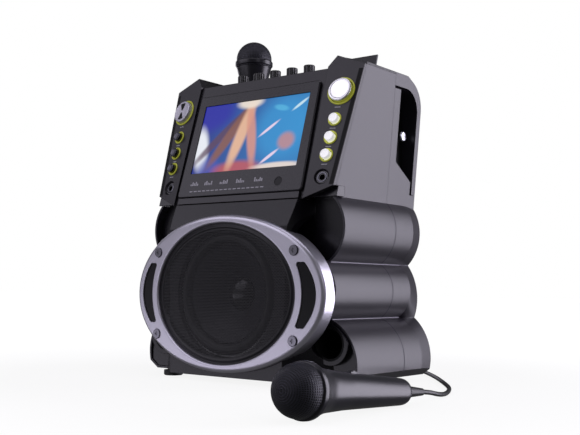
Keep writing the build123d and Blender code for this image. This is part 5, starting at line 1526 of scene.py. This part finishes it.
# ---------------------------------------------------------------- carried-over pieces
NODE_FINISHES: dict[Palette, tuple[str, ...]] = {
    Palette.SHELL: ("cabinet_front_shell", "cabinet_rear_shell", "rear_hood"),
    Palette.CONSOLE: ("console_front", "disc_tray"),
    Palette.BEZEL: ("screen_bezel",),
    Palette.DECK: ("top_deck", "mic_cup", "tablet_rest"),
    # in bass_ports the near-black tint is painted shade in the recess
    Palette.MATT_AND_PORT_SHADE: ("rear_housing", "bass_ports"),
    Palette.FASCIA: ("front_fascia",),
    Palette.SILVER: ("speaker_ring",),
    Palette.SMOKED: ("smoked_windows",),
    Palette.SCREW: ("case_screws",),
    Palette.STEEL: ("strap_pegs", "sled_rods", "drive_motors"),
    Palette.RUBBER: ("feet",),
    Palette.SURROUND: ("woofer_surround",),
    Palette.GLOSS: (
        "lcd_panel", "mic_jacks", "mains_inlet", "power_rocker", "woofer_basket",
        "top_knob_1", "top_knob_2", "top_knob_3", "top_knob_4", "top_knob_5",
    ),
    Palette.BOARD: ("main_board", "power_board", "control_boards"),
    Palette.DRIVE: ("drive_chassis", "loading_gear", "turntable", "laser_sled"),
    Palette.FERRITE: ("woofer_magnet",),
    Palette.BRASS: ("av_jacks",),
    Palette.MIC_BODY: ("holder_mic_switch", "loose_mic_switch"),
    Palette.CORD: ("cord_relief", "mic_plug"),
}


def dress_nodes(nodes: dict[str, bpy.types.Object]) -> None:
    """Give each CAD node that stays its finish.

    Args:
        nodes: The CAD nodes by name.
    """
    for finish, names in NODE_FINISHES.items():
        for name in names:
            dress(nodes[name], finish)


def held_microphone() -> Microphone:
    """The microphone that stands in the cup."""
    tail, axis = np.array([-71.5, 34.0, 239.6]), np.array([0.0, 0.0, 1.0])
    return Microphone("holder", tail, axis, np.array([0.0, -1.0, 0.0]))


def loose_microphone() -> Microphone:
    """Lay the loose microphone on the edge of its tail and on its band.

    Its axis slopes up by the angle whose tangent is the difference of the two radii over
    the distance between them, and is turned a little from -Y.

    Returns:
        The microphone.
    """
    tail_radius, rest_span = Microphone.tail_radius, 139.0
    slope = math.atan((Microphone.band_radius - tail_radius) / rest_span)
    heading = math.radians(1.4)
    axis = np.array(
        [
            -math.sin(heading) * math.cos(slope),
            -math.cos(heading) * math.cos(slope),
            math.sin(slope),
        ]
    )
    up = unit(np.array([0.0, 0.0, 1.0]) - axis * axis[2])
    tail = np.array([243.0, -127.0, tail_radius * math.cos(slope) - 2 * math.sin(slope)])
    return Microphone("loose", tail, axis, up)


def main() -> None:
    """Load the frame, dress the machine and log each group of pieces as it is built."""
    logging.basicConfig(level=logging.INFO, format="%(message)s")
    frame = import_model()
    nodes = frame["nodes"]
    builders: list[tuple[str, Any]] = [
        ("studio", Studio().build),
        ("carried-over nodes", lambda: dress_nodes(nodes)),
        ("speaker front", SpeakerFront().build),
        ("console", Console().build),
        ("cabinet seams", Cabinet().build),
        ("held microphone", held_microphone().build),
        ("loose microphone", loose_microphone().build),
        ("lead", lambda: Lead().build(nodes)),
    ]
    for label, build in builders:
        build()
        LOG.info("built %s", label)


if __name__ == "__main__":
    main()
